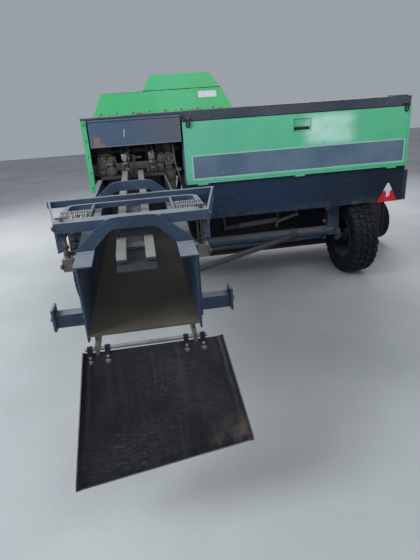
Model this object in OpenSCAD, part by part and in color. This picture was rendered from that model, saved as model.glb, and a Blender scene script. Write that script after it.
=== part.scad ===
// Small square baler, towed: bale channel on the left, pickup and twine box on the right.
// +Y is the way it is towed, +X its right side, +Z up. Millimetres.
// The model is drawn from the channel's centre line (x = 0), the rear face of the
// twine box (y = 0) and the ground (z = 0), and place() then centres it.

/* [Bale channel] */
// Inside width of the bale channel
channel_w = 460; // [440:2:480]
// Inside height of the bale channel
channel_h = 360; // [340:2:370]
// Height of the channel floor above the ground
floor_z = 690; // [680:1:700]
// Thickness of the channel's sheets
sheet_t = 8; // [6:1:10]
// How far the channel reaches behind the twine box
channel_back = 1830; // [1800:5:1860]
// How far the channel reaches ahead of the twine box's rear face
channel_fore = 1330; // [1300:5:1360]
// Where the top rails start to slope down
rail_break = 945; // [900:5:1000]
// Drop of the top rails from there to their rear end
rail_drop = 74; // [50:1:90]
// Height of the side walls' lower edge below the floor
wall_skirt = 30; // [20:1:40]

/* [Tension gear] */
// Section of the two top rails
rail_s = 38; // [30:1:44]
// Distance of each top rail from the centre line
rail_x = 57; // [48:1:64]
// Height of an arch above the shelf it stands on
arch_rise = 130; // [122:1:136]
// Depth of the arch plates at their crown
arch_depth = 50; // [44:1:56]
// Thickness of the arch plates
arch_t = 12; // [8:1:16]
// Half width over an arch's feet
arch_half = 252; // [246:1:258]
// Place of the rear arch behind the twine box
arch_rear_y = 1666; // [1662:1:1690]
// Place of the front arch behind the twine box
arch_front_y = 1035; // [1000:1:1060]
// Half length of the frame's rear beam
beam_rear_half = 321; // [314:1:330]
// Half length of the frame's front bar
beam_front_half = 433; // [420:1:445]
// Place of the rear face of the frame's rear beam
beam_rear_y = 1650; // [1640:1:1652]
// Place of the frame's front bar
beam_front_y = 1130; // [1110:1:1150]
// Height of the tension frame's top edge
beam_top = 1120; // [1114:1:1130]
// Height of the tension frame's rear beam
beam_h = 42; // [36:1:46]

/* [Twine box] */
// Left end of the twine box
box_left = 401; // [380:1:420]
// Right end of the twine box
box_right = 2244; // [2200:2:2290]
// Depth of the twine box
box_depth = 430; // [400:5:460]
// Height of the skirt's lower edge
skirt_z = 658; // [640:1:680]
// Height of the box floor
box_floor_z = 764; // [760:1:780]
// Height of the lid's lower edge
lid_low = 951; // [930:1:970]
// Height of the lid's upper edge
lid_high = 1413; // [1390:1:1430]
// Height of the box's top
box_top = 1490; // [1470:1:1510]
// Sheet thickness of the box and its covers
skin = 4; // [3:0.5:6]
// Depth of the lid's dished panel
lid_t = 22; // [16:1:28]

/* [Hood] */
// Left end of the hood's base
hood_left = -236; // [-250:1:-200]
// Right end of the hood's base
hood_right = 799; // [760:1:840]
// Height of the hood's lower tier
hood_step = 152; // [130:1:170]
// Height of the hood's upper tier
hood_rise = 107; // [90:1:120]

/* [Wheels] */
// Tyre radius
tyre_r = 342; // [335:1:348]
// Tyre width
tyre_w = 225; // [205:1:240]
// Rim radius
rim_r = 205; // [195:1:215]
// Place of the right wheel's middle
wheel_right_x = 1880; // [1860:1:1900]
// Place of the left wheel's middle
wheel_left_x = -446; // [-470:1:-440]
// Place of the axle ahead of the box's rear face
axle_y = 179; // [170:1:190]
// Lugs round each tyre
lug_count = 26; // [18:1:30]
// Radius of the axle tube
axle_tube_r = 40; // [32:1:44]
// Height of the axle tube
axle_tube_z = 405; // [400:1:420]

/* [Pickup] */
// Left end of the pickup
pick_left = 340; // [330:1:360]
// Right end of the pickup
pick_right = 2440; // [2400:5:2460]
// Place of the reel's axis
reel_y = 880; // [875:1:890]
// Height of the reel's axis
reel_z = 330; // [320:1:340]
// Radius to the tine tips
tine_r = 240; // [225:1:245]
// Radius of the stripper bands
band_r = 190; // [175:1:195]
// Width of a stripper band
band_w = 40; // [30:1:46]
// Stripper bands along the pickup
band_count = 25; // [18:1:28]
// Tine bars on the reel
bar_count = 4; // [3:1:6]
// Radius of the pickup's gauge wheel
gauge_r = 200; // [180:1:205]
// Width of the pickup's gauge wheel
gauge_w = 100; // [80:1:120]

/* [Needles] */
// Radius of the needles' arc
needle_r = 470; // [465:1:475]
// Distance of each needle from the centre line
needle_x = 95; // [85:1:105]
// Thickness of a needle
needle_t = 14; // [10:1:18]

/* [Drive] */
// Height of the flywheel's shaft
drive_z = 930; // [925:1:940]
// Radius of the flywheel
fly_r = 305; // [280:1:310]
// Thickness of the flywheel's rim
fly_t = 70; // [55:1:75]

/* [Drawbar] */
// Place of the drawbar's pivot pin
pivot_y = 1830; // [1825:1:1860]
// Radius of the drawbar's pivot pin
pivot_r = 25; // [20:1:28]
// Place of the hitch eye's hole
eye_y = 2960; // [2900:5:3000]
// Radius of the hitch eye's hole
eye_r = 16; // [14:1:20]
// Width of the drawbar beam
bar_w = 96; // [80:2:110]

/* [Chute] */
// Slope of the bale chute below level, in degrees
chute_slope = 50; // [45:1:55]
// Length of the bale chute
chute_len = 512; // [480:1:530]
// Width of the chute at its hinge
chute_w_top = 566; // [550:2:580]
// Width of the chute at its free end
chute_w_end = 676; // [650:2:700]

/* [Hidden] */
$fn = 48;

running_gap = 0.3;      // between a pin and what turns on it
moving_gap = 8;         // between pieces that pass each other

wall_in = channel_w / 2;
wall_out = wall_in + sheet_t;
wall_low = floor_z - wall_skirt;
roof_z = floor_z + channel_h;
rear_wall_z = roof_z - 65;
flange_w = 73;
flange_t = 6;
shelf_out = wall_out + 7;   // outer edge of the shelf on the wall
rib_d = 20;
rib_w = 34;

needle_pivot_z = floor_z + channel_h / 2;
needle_pivot_y = -280;
needle_half = 18;       // half the depth of a needle
needle_slot_y = needle_pivot_y + sqrt(pow(needle_r, 2) - pow(channel_h / 2 + sheet_t / 2, 2));
needle_slot_l = 2 * needle_half + 36;
needle_slot_w = needle_t + 16;
needle_tip = 28;        // degrees below the pivot where the parked tips lie
yoke_arm_t = 10;
yoke_arm_x = wall_out + rib_d + moving_gap;
needle_pin_r = 14;

plunger_y = 330;
plunger_l = 520;
plunger_gap = 6;
feed_y0 = 440;
feed_y1 = 830;
feed_h = 330;
deck_y = -60;

beam_y0 = 330;          // main cross beam under the twine box
beam_y1 = 410;
beam_low = 700;
bay_left = -331;
bay_flange = 37;
flap_low = 1279;
flap_right = 388;
top_flange = box_top - 17;   // lower edge of the cover's rear flange
sheet_z = box_top - skin;    // underside of the top sheet

hub_r = 55;
bead_w = tyre_w - 40;
stub_r = 24;
lug_h = 11;

table_t = 6;
hood_front_z = 900;
lift_y = 700;           // pickup's lifting pivot
lift_z = 600;
lift_pin_r = 16;
leg_y = 640;            // where the stripper bands end
side_t = 6;
guard_pivot_y = 800;
guard_pivot_z = 575;
guard_tube_y = 1130;
guard_tube_z = 650;
gauge_z = 245;
gauge_axle_r = 15;
reel_shaft_r = 17;

fly_y = pivot_y - 190;  // rear face of the flywheel
stub_end = pivot_y - 104;      // short of the drive shaft's bell
frame_z0 = 480;
frame_z1 = 600;
lug_t = 20;
pto_fall = 15.5;        // degrees
pto_r = 36;
pto_len = 1000;
jack_y = 2350;
jack_r = 25;
jack_tube_r = 33;
jack_x = -bar_w / 2 - jack_tube_r - 4;
jack_travel = 280;
jack_leg_top = 560;
jack_tube_low = 330;
foot_r = 90;
foot_t = 10;

hinge_y = -channel_back - 34;   // chute hinge
hinge_z = floor_z - 46;
hinge_r = 9;
chute_t = 5;
chute_lip = 26;
chute_shift = 28;
chute_skew = 75;        // the free end is longer on the left by this much

left_most = wheel_left_x - tyre_w / 2 + 4;
right_most = pick_right + side_t + 46 + gauge_w;
rear_most = hinge_y - chute_len * cos(chute_slope) - chute_lip * sin(chute_slope);
front_most = eye_y + 45;
mid_x = (left_most + right_most) / 2;
mid_y = (rear_most + front_most) / 2;

module place() {
    translate([-mid_x, -mid_y, 0]) children();
}

// A plate whose outline is given as [y, z], from x towards +X
module side_plate(x, t) {
    translate([x, 0, 0]) rotate([90, 0, 90]) linear_extrude(t) children();
}

// A plate whose outline is given as [x, z], from y towards +Y
module cross_plate(y, t) {
    translate([0, y + t, 0]) rotate([90, 0, 0]) linear_extrude(t) children();
}

// A block between two corners
module block(low, high) {
    translate(low) cube(high - low);
}

// A round bar along X
module bar_x(x0, x1, y, z, r) {
    translate([x0, y, z]) rotate([0, 90, 0]) cylinder(h = x1 - x0, r = r);
}

// A round bar along Y
module bar_y(y0, y1, x, z, r) {
    translate([x, y0, z]) rotate([-90, 0, 0]) cylinder(h = y1 - y0, r = r);
}

// A round bar along Z
module bar_z(z0, z1, x, y, r) {
    translate([x, y, z0]) cylinder(h = z1 - z0, r = r);
}

// A round rod between two points
module rod(a, b, r, sides = 24) {
    d = b - a;
    length = norm(d);
    turn = atan2(d[1], d[0]);
    tilt = acos(d[2] / length);
    translate(a) rotate([0, tilt, turn]) cylinder(h = length, r = r, $fn = sides);
}

// Outline of the channel's side wall in [y, z]
module wall_outline() {
    polygon([[-channel_back, wall_low], [channel_fore, wall_low], [channel_fore, roof_z],
             [-rail_break, roof_z], [-channel_back, rear_wall_z]]);
}

// Upright pressed ribs outside one wall; side is -1 left, 1 right
module wall_ribs(side, places) {
    for (y = places)
        translate([side * (wall_out + rib_d / 2), y, (wall_low + roof_z - 60) / 2])
            cube([rib_d, rib_w, roof_z - 60 - wall_low], center = true);
}

// The sloping flange on top of a wall, that the arches stand on
module top_shelf(side) {
    x = side > 0 ? shelf_out - flange_w : -shelf_out;
    side_plate(x, flange_w)
        polygon([[-channel_back, rear_wall_z - flange_t], [-rail_break, roof_z - flange_t],
                 [-rail_break, roof_z], [-channel_back, rear_wall_z]]);
}

left_ribs = [-1700, -1250, -760, -480, -60, 330, 700, 1060];
right_ribs = [-1700, -1250, -760, -480, -60, 290, 1060];

module channel_left() {
    color("#3f5468") place() {
        difference() {
            side_plate(-wall_out, sheet_t) wall_outline();
            needle_pin_hole();
        }
        wall_ribs(-1, left_ribs);
        top_shelf(-1);
        needle_boss(-1);
    }
}

module channel_right() {
    color("#3f5468") place() {
        difference() {
            side_plate(wall_in, sheet_t) wall_outline();
            block([wall_in - 1, feed_y0, floor_z], [wall_out + 1, feed_y1, floor_z + feed_h]);
            needle_pin_hole();
        }
        wall_ribs(1, right_ribs);
        top_shelf(1);
        needle_boss(1);
    }
}

module needle_pin_hole() {
    bar_x(-wall_out - 1, wall_out + 1, needle_pivot_y, needle_pivot_z, needle_pin_r - 4);
}

// The pin on which one side of the needle yoke swings
module needle_boss(side) {
    x0 = side > 0 ? wall_out : -wall_out - rib_d - 2;
    bar_x(x0, x0 + rib_d + 2, needle_pivot_y, needle_pivot_z, 34);
    x1 = side > 0 ? wall_out : -yoke_arm_x - yoke_arm_t - 12;
    bar_x(x1, x1 + yoke_arm_x + yoke_arm_t + 12 - wall_out, needle_pivot_y, needle_pivot_z,
          needle_pin_r);
}

module needle_slots(z) {
    for (side = [-1, 1])
        translate([side * needle_x, needle_slot_y, z])
            cube([needle_slot_w, needle_slot_l, 4 * sheet_t], center = true);
}

member_places = [-1690, -1060, -560, 330, 760, 1230];

module channel_floor() {
    color("#4a4f55") place() difference() {
        union() {
            block([-wall_in, -channel_back, floor_z - sheet_t], [wall_in, channel_fore, floor_z]);
            for (y = member_places)
                block([-wall_in, y, wall_low - 40], [wall_in, y + 60, floor_z - sheet_t]);
            for (side = [-1, 1])
                side_plate(side * 200 - 8, 16)
                    polygon([[-channel_back, floor_z - sheet_t], [-channel_back, hinge_z + 18],
                             [hinge_y - 18, hinge_z + 18], [hinge_y - 18, hinge_z - 18],
                             [-channel_back + 90, hinge_z - 18],
                             [-channel_back + 140, floor_z - sheet_t]]);
        }
        needle_slots(floor_z - sheet_t / 2);
        bar_x(-300, 300, hinge_y, hinge_z, hinge_r);
    }
}

module channel_roof() {
    color("#3b4d60") place() {
        difference() {
            block([-wall_out, deck_y, roof_z], [wall_out, channel_fore, roof_z + sheet_t]);
            needle_slots(roof_z + sheet_t / 2);
        }
        for (side = [-1, 1])
            block([side * wall_out - (side > 0 ? 30 : 0), 440, roof_z + sheet_t],
                  [side * wall_out + (side > 0 ? 0 : 30), channel_fore, roof_z + sheet_t + 46]);
        for (side = [-1, 1], lug = [-1, 1])
            translate([side * rail_x + lug * (rail_s / 2 + 6), deck_y + 20, roof_z + sheet_t + 22])
                cube([8, 40, 44], center = true);
    }
}

module plunger() {
    face_in = wall_in - plunger_gap;
    color("#5a5048") place() difference() {
        union() {
            block([-face_in, plunger_y, floor_z + 4], [face_in, plunger_y + 50, roof_z - 4]);
            block([-face_in + 30, plunger_y + 50, floor_z + 4],
                  [face_in - 30, plunger_y + plunger_l, roof_z - 30]);
            for (side = [-1, 1])
                block([side * 170 - 20, plunger_y, floor_z], [side * 170 + 20, plunger_y + plunger_l, floor_z + 5]);
        }
        for (side = [-1, 1])
            translate([side * needle_x, plunger_y, needle_pivot_z])
                cube([needle_slot_w + 10, 120, channel_h + 2], center = true);
    }
}

// Height of the top rails' upper face at a distance behind the twine box
function rail_top(y) = y < rail_break ? roof_z + sheet_t + 1 + rail_s - 6 * y / rail_break
                     : roof_z + sheet_t - 5 + rail_s - rail_drop * (y - rail_break)
                       / (channel_back - rail_break);

module top_rails() {
    color("#9a9a94") place() {
        for (side = [-1, 1])
            side_plate(side * rail_x - rail_s / 2, rail_s)
                polygon([[deck_y + 36, rail_top(0) - rail_s], [deck_y + 36, rail_top(0)],
                         [-rail_break, rail_top(rail_break)],
                         [-channel_back + 12, rail_top(channel_back)],
                         [-channel_back - 4, rail_top(channel_back) - rail_s / 2],
                         [-channel_back + 12, rail_top(channel_back) - rail_s],
                         [-rail_break, rail_top(rail_break) - rail_s]]);
        side_plate(-rail_x + rail_s / 2, 2 * rail_x - rail_s)
            polygon([[-1700, rail_top(1700) - 30], [-1080, rail_top(1080) - 30],
                     [-1080, rail_top(1080) - 22], [-1700, rail_top(1700) - 22]]);
        // saddles under the tension frame's beam and bar
        block([-rail_x - 24, -beam_rear_y + 20, rail_top(beam_rear_y - 20) - 6],
              [rail_x + 24, -beam_rear_y + 50, beam_top - beam_h]);
        block([-rail_x - 24, -beam_front_y - 10, rail_top(beam_front_y) - 8],
              [rail_x + 24, -beam_front_y + 10, beam_top - bar_h]);
    }
}

// One arch over the channel, its outline in [x, z] from the foot's height
module arch_outline(foot_z) {
    outer = [[0, 0], [-37, 0.27], [-82, 0.57], [-118, 0.81], [-138, 0.92], [-160, 0.98], [-192, 1]];
    inner = [[-192, 0], [-168, 0], [-152, -0.06], [-135, -0.18], [-85, -0.55]];
    half = concat([for (p = outer) [arch_half + p[0], foot_z + p[1] * arch_rise]],
                  [for (i = [6 : -1 : 0]) [-arch_half - outer[i][0], foot_z + outer[i][1] * arch_rise]]);
    crown = foot_z + arch_rise - arch_depth;
    under = concat([[-arch_half + 72, foot_z]],
                   [for (i = [4 : -1 : 0]) [-arch_half - inner[i][0], crown + inner[i][1] * arch_rise]],
                   [for (p = inner) [arch_half + p[0], crown + p[1] * arch_rise]],
                   [[arch_half - 72, foot_z]]);
    polygon(concat(half, under));
}

// Height of the shelf under an arch
function shelf_z(y) = roof_z - (roof_z - rear_wall_z) * (y - rail_break)
                      / (channel_back - rail_break);

module arch_at(y) {
    color("#33465c") place()
        cross_plate(-y, arch_t) arch_outline(shelf_z(y - arch_t) + 0.2);
}

module arch_front() {
    arch_at(arch_front_y);
}

module arch_rear() {
    arch_at(arch_rear_y);
}

beam_depth = 75;
bar_h = 33;             // height of the frame's front bar
bend_r = 55;            // bend of the frame's inner bar
spring_turns = 12;
spring_rows = [-1537, -1470];

// Outline of the inner bar's edge in [x, y], bent like a U round the springs
function bent_edge(half, fore, r) = concat(
    [[-half, -beam_rear_y + beam_depth - 1]],
    [for (t = [0 : 4]) [-half + r - r * cos(t * 22.5), fore - r + r * sin(t * 22.5)]],
    [for (t = [4 : -1 : 0]) [half - r + r * cos(t * 22.5), fore - r + r * sin(t * 22.5)]],
    [[half, -beam_rear_y + beam_depth - 1]]);

module tension_frame() {
    color("#33465c") place() {
        low = beam_top - beam_h;
        bend_y = -beam_front_y - 146;
        block([-beam_rear_half, -beam_rear_y, low],
              [beam_rear_half, -beam_rear_y + beam_depth, beam_top]);
        block([-beam_front_half, -beam_front_y - 16, beam_top - bar_h],
              [beam_front_half, -beam_front_y + 16, beam_top]);
        translate([0, 0, beam_top - 24]) linear_extrude(24) difference() {
            polygon(bent_edge(beam_rear_half - 3, bend_y, bend_r));
            polygon(bent_edge(beam_rear_half - 27, bend_y - 24, bend_r - 24));
            translate([-beam_rear_half, -beam_rear_y]) square([2 * beam_rear_half, beam_depth - 2]);
        }
        for (side = [-1, 1]) {
            translate([0, 0, low - 24]) linear_extrude(beam_h + 24)
                polygon([[side * (beam_rear_half - 10), -beam_rear_y],
                         [side * beam_rear_half, -beam_rear_y],
                         [side * beam_front_half, -beam_front_y + 16],
                         [side * (beam_front_half - 10), -beam_front_y + 16]]);
            // gusset beside the screws
            cross_plate(-beam_rear_y + 12, 6)
                polygon([[side * (beam_rear_half + 3), low - 88], [side * (beam_rear_half + 3), low + 4],
                         [side * (beam_rear_half - 24), low + 4], [side * (beam_rear_half - 24), low - 80]]);
            // rod and seats of the springs
            rod([side * 184, -beam_rear_y + beam_depth - 2, beam_top - 8],
                [side * 184, bend_y - 20, beam_top - 8], 7);
            translate([side > 0 ? 192 : -312, 0, 0]) for (row = spring_rows)
                translate([0, row, beam_top - 18]) coil_spring(23, 5, spring_turns);
            block([side > 0 ? 311 : -(beam_rear_half - 20), spring_rows[0] - 26, beam_top - 42],
                  [side > 0 ? beam_rear_half - 20 : -311, spring_rows[1] + 26, beam_top - 20]);
            block([side * 188 - 5, -beam_rear_y + beam_depth - 1, beam_top - 36],
                  [side * 188 + 5, bend_y - 20, beam_top - 14]);
        }
    }
}

// A close-wound spring along X, its turns drawn as ridges
module coil_spring(r, wire, turns) {
    pitch = 2 * wire;
    rotate([0, 90, 0]) rotate_extrude($fn = 32)
        polygon(concat([[0, 0]],
                       [for (turn = [0 : turns - 1], half = [0, 1])
                           [r + (half == 0 ? wire - 4 : wire), (turn + half / 2) * pitch]],
                       [[r + wire - 4, turns * pitch], [0, turns * pitch]]));
}

screw_x = 293;
screw_y = beam_rear_y - 38;
seat_z = 962;

// Short screws between the frame and brackets on the channel's walls
module tension_screws() {
    color("#7d8186") place()
        for (side = [-1, 1]) {
            bar_z(seat_z - 2, beam_top - beam_h, side * screw_x, -screw_y, 7);
            bar_z(seat_z - 1, seat_z + 13, side * screw_x, -screw_y, 14);
            bar_z(beam_top - beam_h - 12, beam_top - beam_h, side * screw_x, -screw_y, 12);
            bar_z(seat_z - 2, beam_top - beam_h, side * (screw_x - 19), -screw_y + 8, 4);
            block([side > 0 ? wall_out : -screw_x - 22, -screw_y - 26, seat_z - 56],
                  [side > 0 ? screw_x + 22 : -wall_out, -screw_y + 26, seat_z]);
        }
}

lower_beam_y = 1500;

module lower_beam() {
    color("#2d4052") place() {
        block([-430, -lower_beam_y - 32, wall_low - 64], [430, -lower_beam_y + 32, wall_low]);
        for (side = [-1, 1])
            block([side * 424 - 6, -lower_beam_y - 46, wall_low - 76],
                  [side * 424 + 6, -lower_beam_y + 46, wall_low + 34]);
    }
}

shaft_y = 250;
shaft_z = roof_z + 165;
knotter_shaft_r = 18;

module knotter_shaft() {
    color("#5b564c") place() {
        bar_x(bay_left + 16, box_left - 10, shaft_y, shaft_z, knotter_shaft_r);
        for (x = [-290, 330])
            side_plate(x, 14) polygon([[shaft_y - 70, roof_z + sheet_t], [shaft_y + 70, roof_z + sheet_t],
                                       [shaft_y + 30, shaft_z + 30], [shaft_y - 30, shaft_z + 30]]);
        block([wall_out - 20, shaft_y - 70, roof_z + sheet_t], [344, shaft_y + 70, roof_z + sheet_t + 12]);
        block([-290, shaft_y - 70, roof_z + sheet_t], [-wall_out + 20, shaft_y + 70, roof_z + sheet_t + 12]);
        // clutch and brake at the shaft's ends
        bar_x(250, 318, shaft_y, shaft_z, 84);
        bar_x(268, 300, shaft_y, shaft_z, 104);
        bar_x(204, 251, shaft_y, shaft_z, 56);
        side_plate(196, 10) toothed(78, 92, 22);
        bar_x(-262, -200, shaft_y, shaft_z, 92);
        bar_x(-201, -150, shaft_y, shaft_z, 64);
        side_plate(-246, 14) toothed(88, 104, 26);
        // left frame with its dark slot and the round cover low on it
        side_plate(-236, 92) difference() {
            polygon([[64, roof_z + 66], [96, roof_z + 150], [shaft_y - 40, roof_z + 158],
                     [shaft_y, roof_z + 70], [150, roof_z + 44], [84, roof_z + 40]]);
            polygon([[50, roof_z + 66], [50, roof_z + 84], [120, roof_z + 84], [120, roof_z + 66]]);
        }
        block([-228, 84, roof_z + sheet_t], [-206, 116, roof_z + 60]);
        block([-168, 84, roof_z + sheet_t], [-150, 116, roof_z + 60]);
        bar_y(56, 92, -162, roof_z + 44, 34);
        // trip rod, bent round the clutch, with its bracket
        rod([320, 60, 1300], [332, 60, 1120], 6);
        rod([332, 60, 1122], [360, 60, 1006], 6);
        rod([360, 60, 1008], [364, 60, 964], 6);
        translate([332, 60, 1121]) sphere(r = 7, $fn = 24);
        block([338, 34, roof_z + sheet_t], [373, shaft_y - 60, roof_z + sheet_t + 12]);
    }
}

// A disc round the knotter shaft in [y, z], toothed over a part of its rim
module toothed(r0, r1, teeth) {
    step = 360 / teeth / 2.6;
    translate([shaft_y, shaft_z]) {
        circle(r = r0);
        for (i = [0 : teeth / 2])
            rotate(110 + i * step)
                polygon([[r0 - 3, -2.6], [r1, -1.4], [r1, 1.4], [r0 - 3, 2.6]]);
    }
}

// One twine disc with its notches
module twine_disc(r) {
    linear_extrude(6) difference() {
        circle(r = r);
        for (a = [0 : 60 : 300])
            rotate(a) translate([r - 9, -4]) square([12, 8]);
    }
}

// One knotter, to the right of its needle
module knotter(x) {
    color("#6a6357") place() {
        disc_x = x + needle_slot_w / 2 + 5;
        difference() {
            union() {
                side_plate(disc_x, 12) toothed(94, 106, 30);
                bar_x(disc_x + 11, disc_x + 66, shaft_y, shaft_z, 34);
                bar_x(disc_x + 11, disc_x + 18, shaft_y, shaft_z, 70);
                // the frame, with a window and a raised boss
                side_plate(disc_x + 24, 36) difference() {
                    polygon([[shaft_y - 36, shaft_z + 30], [150, roof_z + 160], [80, roof_z + 150],
                             [66, roof_z + 70], [84, roof_z + sheet_t], [150, roof_z + sheet_t],
                             [168, roof_z + 70], [shaft_y + 40, roof_z + 100],
                             [shaft_y + 40, shaft_z + 36], [shaft_y - 20, shaft_z + 52]]);
                    polygon([[96, roof_z + 84], [136, roof_z + 80], [150, roof_z + 126], [100, roof_z + 124]]);
                }
                side_plate(disc_x + 16, 10) polygon([[104, roof_z + 156], [80, roof_z + 128], [84, roof_z + 62],
                                                     [112, roof_z + 52], [120, roof_z + 78], [112, roof_z + 120],
                                                     [shaft_y - 60, roof_z + 150]]);
                bar_x(disc_x + 18, disc_x + 70, 118, roof_z + 142, 15);
                bar_x(disc_x + 18, disc_x + 68, 146, roof_z + 56, 12);
            }
            bar_x(disc_x - 1, disc_x + 72, shaft_y, shaft_z, knotter_shaft_r + running_gap);
        }
        // twine discs on their spindle, and the bill hook
        translate([disc_x + 38, 90, roof_z + 24]) rotate([24, 0, 0]) {
            for (layer = [0 : 2])
                translate([0, 0, 14 + layer * 12]) twine_disc(42);
            cylinder(h = 64, r = 15);
        }
        rod([disc_x + 42, 96, roof_z + 100], [disc_x + 34, 10, roof_z + 78], 12);
        rod([disc_x + 34, 12, roof_z + 80], [disc_x + 22, -24, roof_z + 100], 7);
        // twine holder's spring arm and the wiper arm
        rod([disc_x + 56, 130, roof_z + 92], [disc_x + 52, 26, roof_z + 40], 6);
        rod([disc_x + 56, 74, roof_z + 138], [disc_x + 56, 20, roof_z + 120], 8);
        block([disc_x + 24, 62, roof_z + 142], [disc_x + 60, 150, roof_z + 172]);
    }
}

module knotter_left() {
    knotter(-needle_x);
}

module knotter_right() {
    knotter(needle_x);
    // upright between the knotters, with the tie rod behind it
    color("#6a6357") place() {
        block([6, 84, roof_z + sheet_t], [28, 112, roof_z + 150]);
        bar_x(27, needle_x - needle_slot_w / 2 - 3, 98, roof_z + 128, 9);
        block([-4, 78, roof_z + sheet_t], [52, 150, roof_z + sheet_t + 12]);
    }
}

flap_left = bay_left + bay_flange + 12;
flap_pin_r = 8;
flap_pin_y = -14;
flap_pin_z = top_flange - 12;

module knotter_flap() {
    face = flap_pin_y + 2;
    color("#4b5a6e") place() {
        block([flap_left, face - skin, flap_low], [flap_right, face, flap_pin_z]);
        block([flap_left, face - skin, flap_low], [flap_right, 10, flap_low + skin]);
        bar_x(flap_left, flap_right, flap_pin_y, flap_pin_z, flap_pin_r);
        bar_x(flap_left - 9, flap_right + 9, flap_pin_y, flap_pin_z, 5);
    }
}

module left_shield() {
    color("#54b878") place() {
        block([bay_left, 0, lid_low], [bay_left + skin, box_depth, sheet_z]);
        block([bay_left, box_depth - 1, lid_low], [bay_left + skin, box_depth + 190, top_flange - 31]);
        block([bay_left, 0, lid_low], [bay_left + bay_flange, skin, sheet_z]);
        block([bay_left, box_depth - skin, roof_z + 60], [box_left, box_depth, sheet_z]);
        block([bay_left, 500, lid_low + 20], [-wall_out - rib_d, 540, lid_low + 60]);
        block([-wall_out - rib_d - 1, 500, lid_low + 20], [-wall_out, 540, lid_low + 60]);
    }
}

// A tier of the hood: outline in x and z, its front and back sloped the same way
module hood_tier(x0, x1, x2, x3, z0, z1, y0, y1, y2, y3) {
    intersection() {
        cross_plate(y0 - 1, y1 - y0 + 2) polygon([[x0, z0], [x1, z0], [x3, z1], [x2, z1]]);
        side_plate(x0 - 1, x1 - x0 + 2) polygon([[y0, z0], [y1, z0], [y3, z1], [y2, z1]]);
    }
}

hood_mid = box_top + hood_step;

module hood() {
    color("#54b878") place() difference() {
        union() {
            hood_tier(hood_left, hood_right, hood_left + 77, hood_right - 80,
                      box_top, hood_mid, 12, box_depth - 10, 50, box_depth - 60);
            hood_tier(hood_left + 375, hood_right - 80, hood_left + 439, hood_right - 155,
                      hood_mid - 1, hood_mid + hood_rise, 70, box_depth - 80, 100, box_depth - 130);
        }
        hood_tier(hood_left + skin, hood_right - skin, hood_left + 77 + skin, hood_right - 80 - skin,
                  box_top - 1, hood_mid - skin, 12 + skin, box_depth - 10 - skin,
                  50 + skin, box_depth - 60 - skin);
    }
}

module twine_box() {
    post_w = 40;
    color("#24344a") place() {
        // floor, front wall, left end, posts and the hanging skirt
        block([box_left, 0, box_floor_z - skin], [box_right, box_depth, box_floor_z]);
        block([box_left, box_depth - skin, box_floor_z - skin], [box_right, box_depth, sheet_z]);
        block([box_left, 0, box_floor_z - skin], [box_left + skin, box_depth, sheet_z]);
        block([box_left, 0, skirt_z], [box_right, skin, lid_low - 2]);
        block([box_left, 0, skirt_z], [box_right, 30, skirt_z + skin]);
        for (x = [box_left, box_right - post_w])
            block([x, 0, lid_low - 3], [x + post_w, skin, sheet_z]);
        block([box_left, 0, lid_high - skin], [box_right, skin, sheet_z]);
        for (x = [900, 1420])
            block([x, 0, box_floor_z], [x + skin, box_depth, lid_low - 20]);
        // cross beam under the floor
        block([wall_out, beam_y0, beam_low], [box_right, beam_y1, box_floor_z - skin]);
        for (x = lid_hinges)
            lid_hinge(x);
    }
}

lid_hinges = [box_left + 90, (box_left + box_right) / 2 - 40, box_right - 170];
hinge_l = 80;

// The lugs and pin of one lid hinge, on the box
module lid_hinge(x) {
    for (lug = [x - 14, x + hinge_l + 1]) {
        bar_x(lug, lug + 13, lid_pin_y, lid_pin_z, 6.4);
        block([lug, lid_pin_y, lid_pin_z - 6.4], [lug + 13, 1, lid_pin_z + 4]);
    }
    bar_x(x - 14, x + hinge_l + 14, lid_pin_y, lid_pin_z, lid_pin_r);
}

module top_cover() {
    color("#3e4350") place() {
        block([bay_left, -skin, sheet_z], [box_right, box_depth + skin, box_top]);
        block([bay_left, -skin, top_flange], [box_right, 0, box_top]);
        block([bay_left, box_depth, top_flange - 30], [box_right, box_depth + skin, box_top]);
        block([box_left, -skin, lid_high + 6], [box_right, 0, top_flange]);
        // lugs for the flap's hinge pin
        for (x = [flap_left - 9, flap_right + 2])
            difference() {
                block([x, flap_pin_y - 10, flap_pin_z - 12], [x + 7, -skin + 1, top_flange + 1]);
                bar_x(x - 1, x + 8, flap_pin_y, flap_pin_z, 5 + running_gap);
            }
        block([2120, 20, box_top - 1], [2230, 140, box_top + 8]);
    }
}

module end_panel() {
    color("#2b6f55") place() {
        block([box_right, 0, skirt_z + 24], [box_right + skin, box_depth, box_top]);
        block([box_right, 0, skirt_z], [box_right + 34, skin, lid_low - 40]);
        block([box_right, 0, box_floor_z - skin], [box_right + skin, feed_y1 - 120, box_floor_z + 200]);
    }
}

lid_pin_r = 4;
lid_barrel_r = 8;
lid_gap = 3;
lid_pin_y = -13;
lid_pin_z = lid_low - 7;

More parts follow.
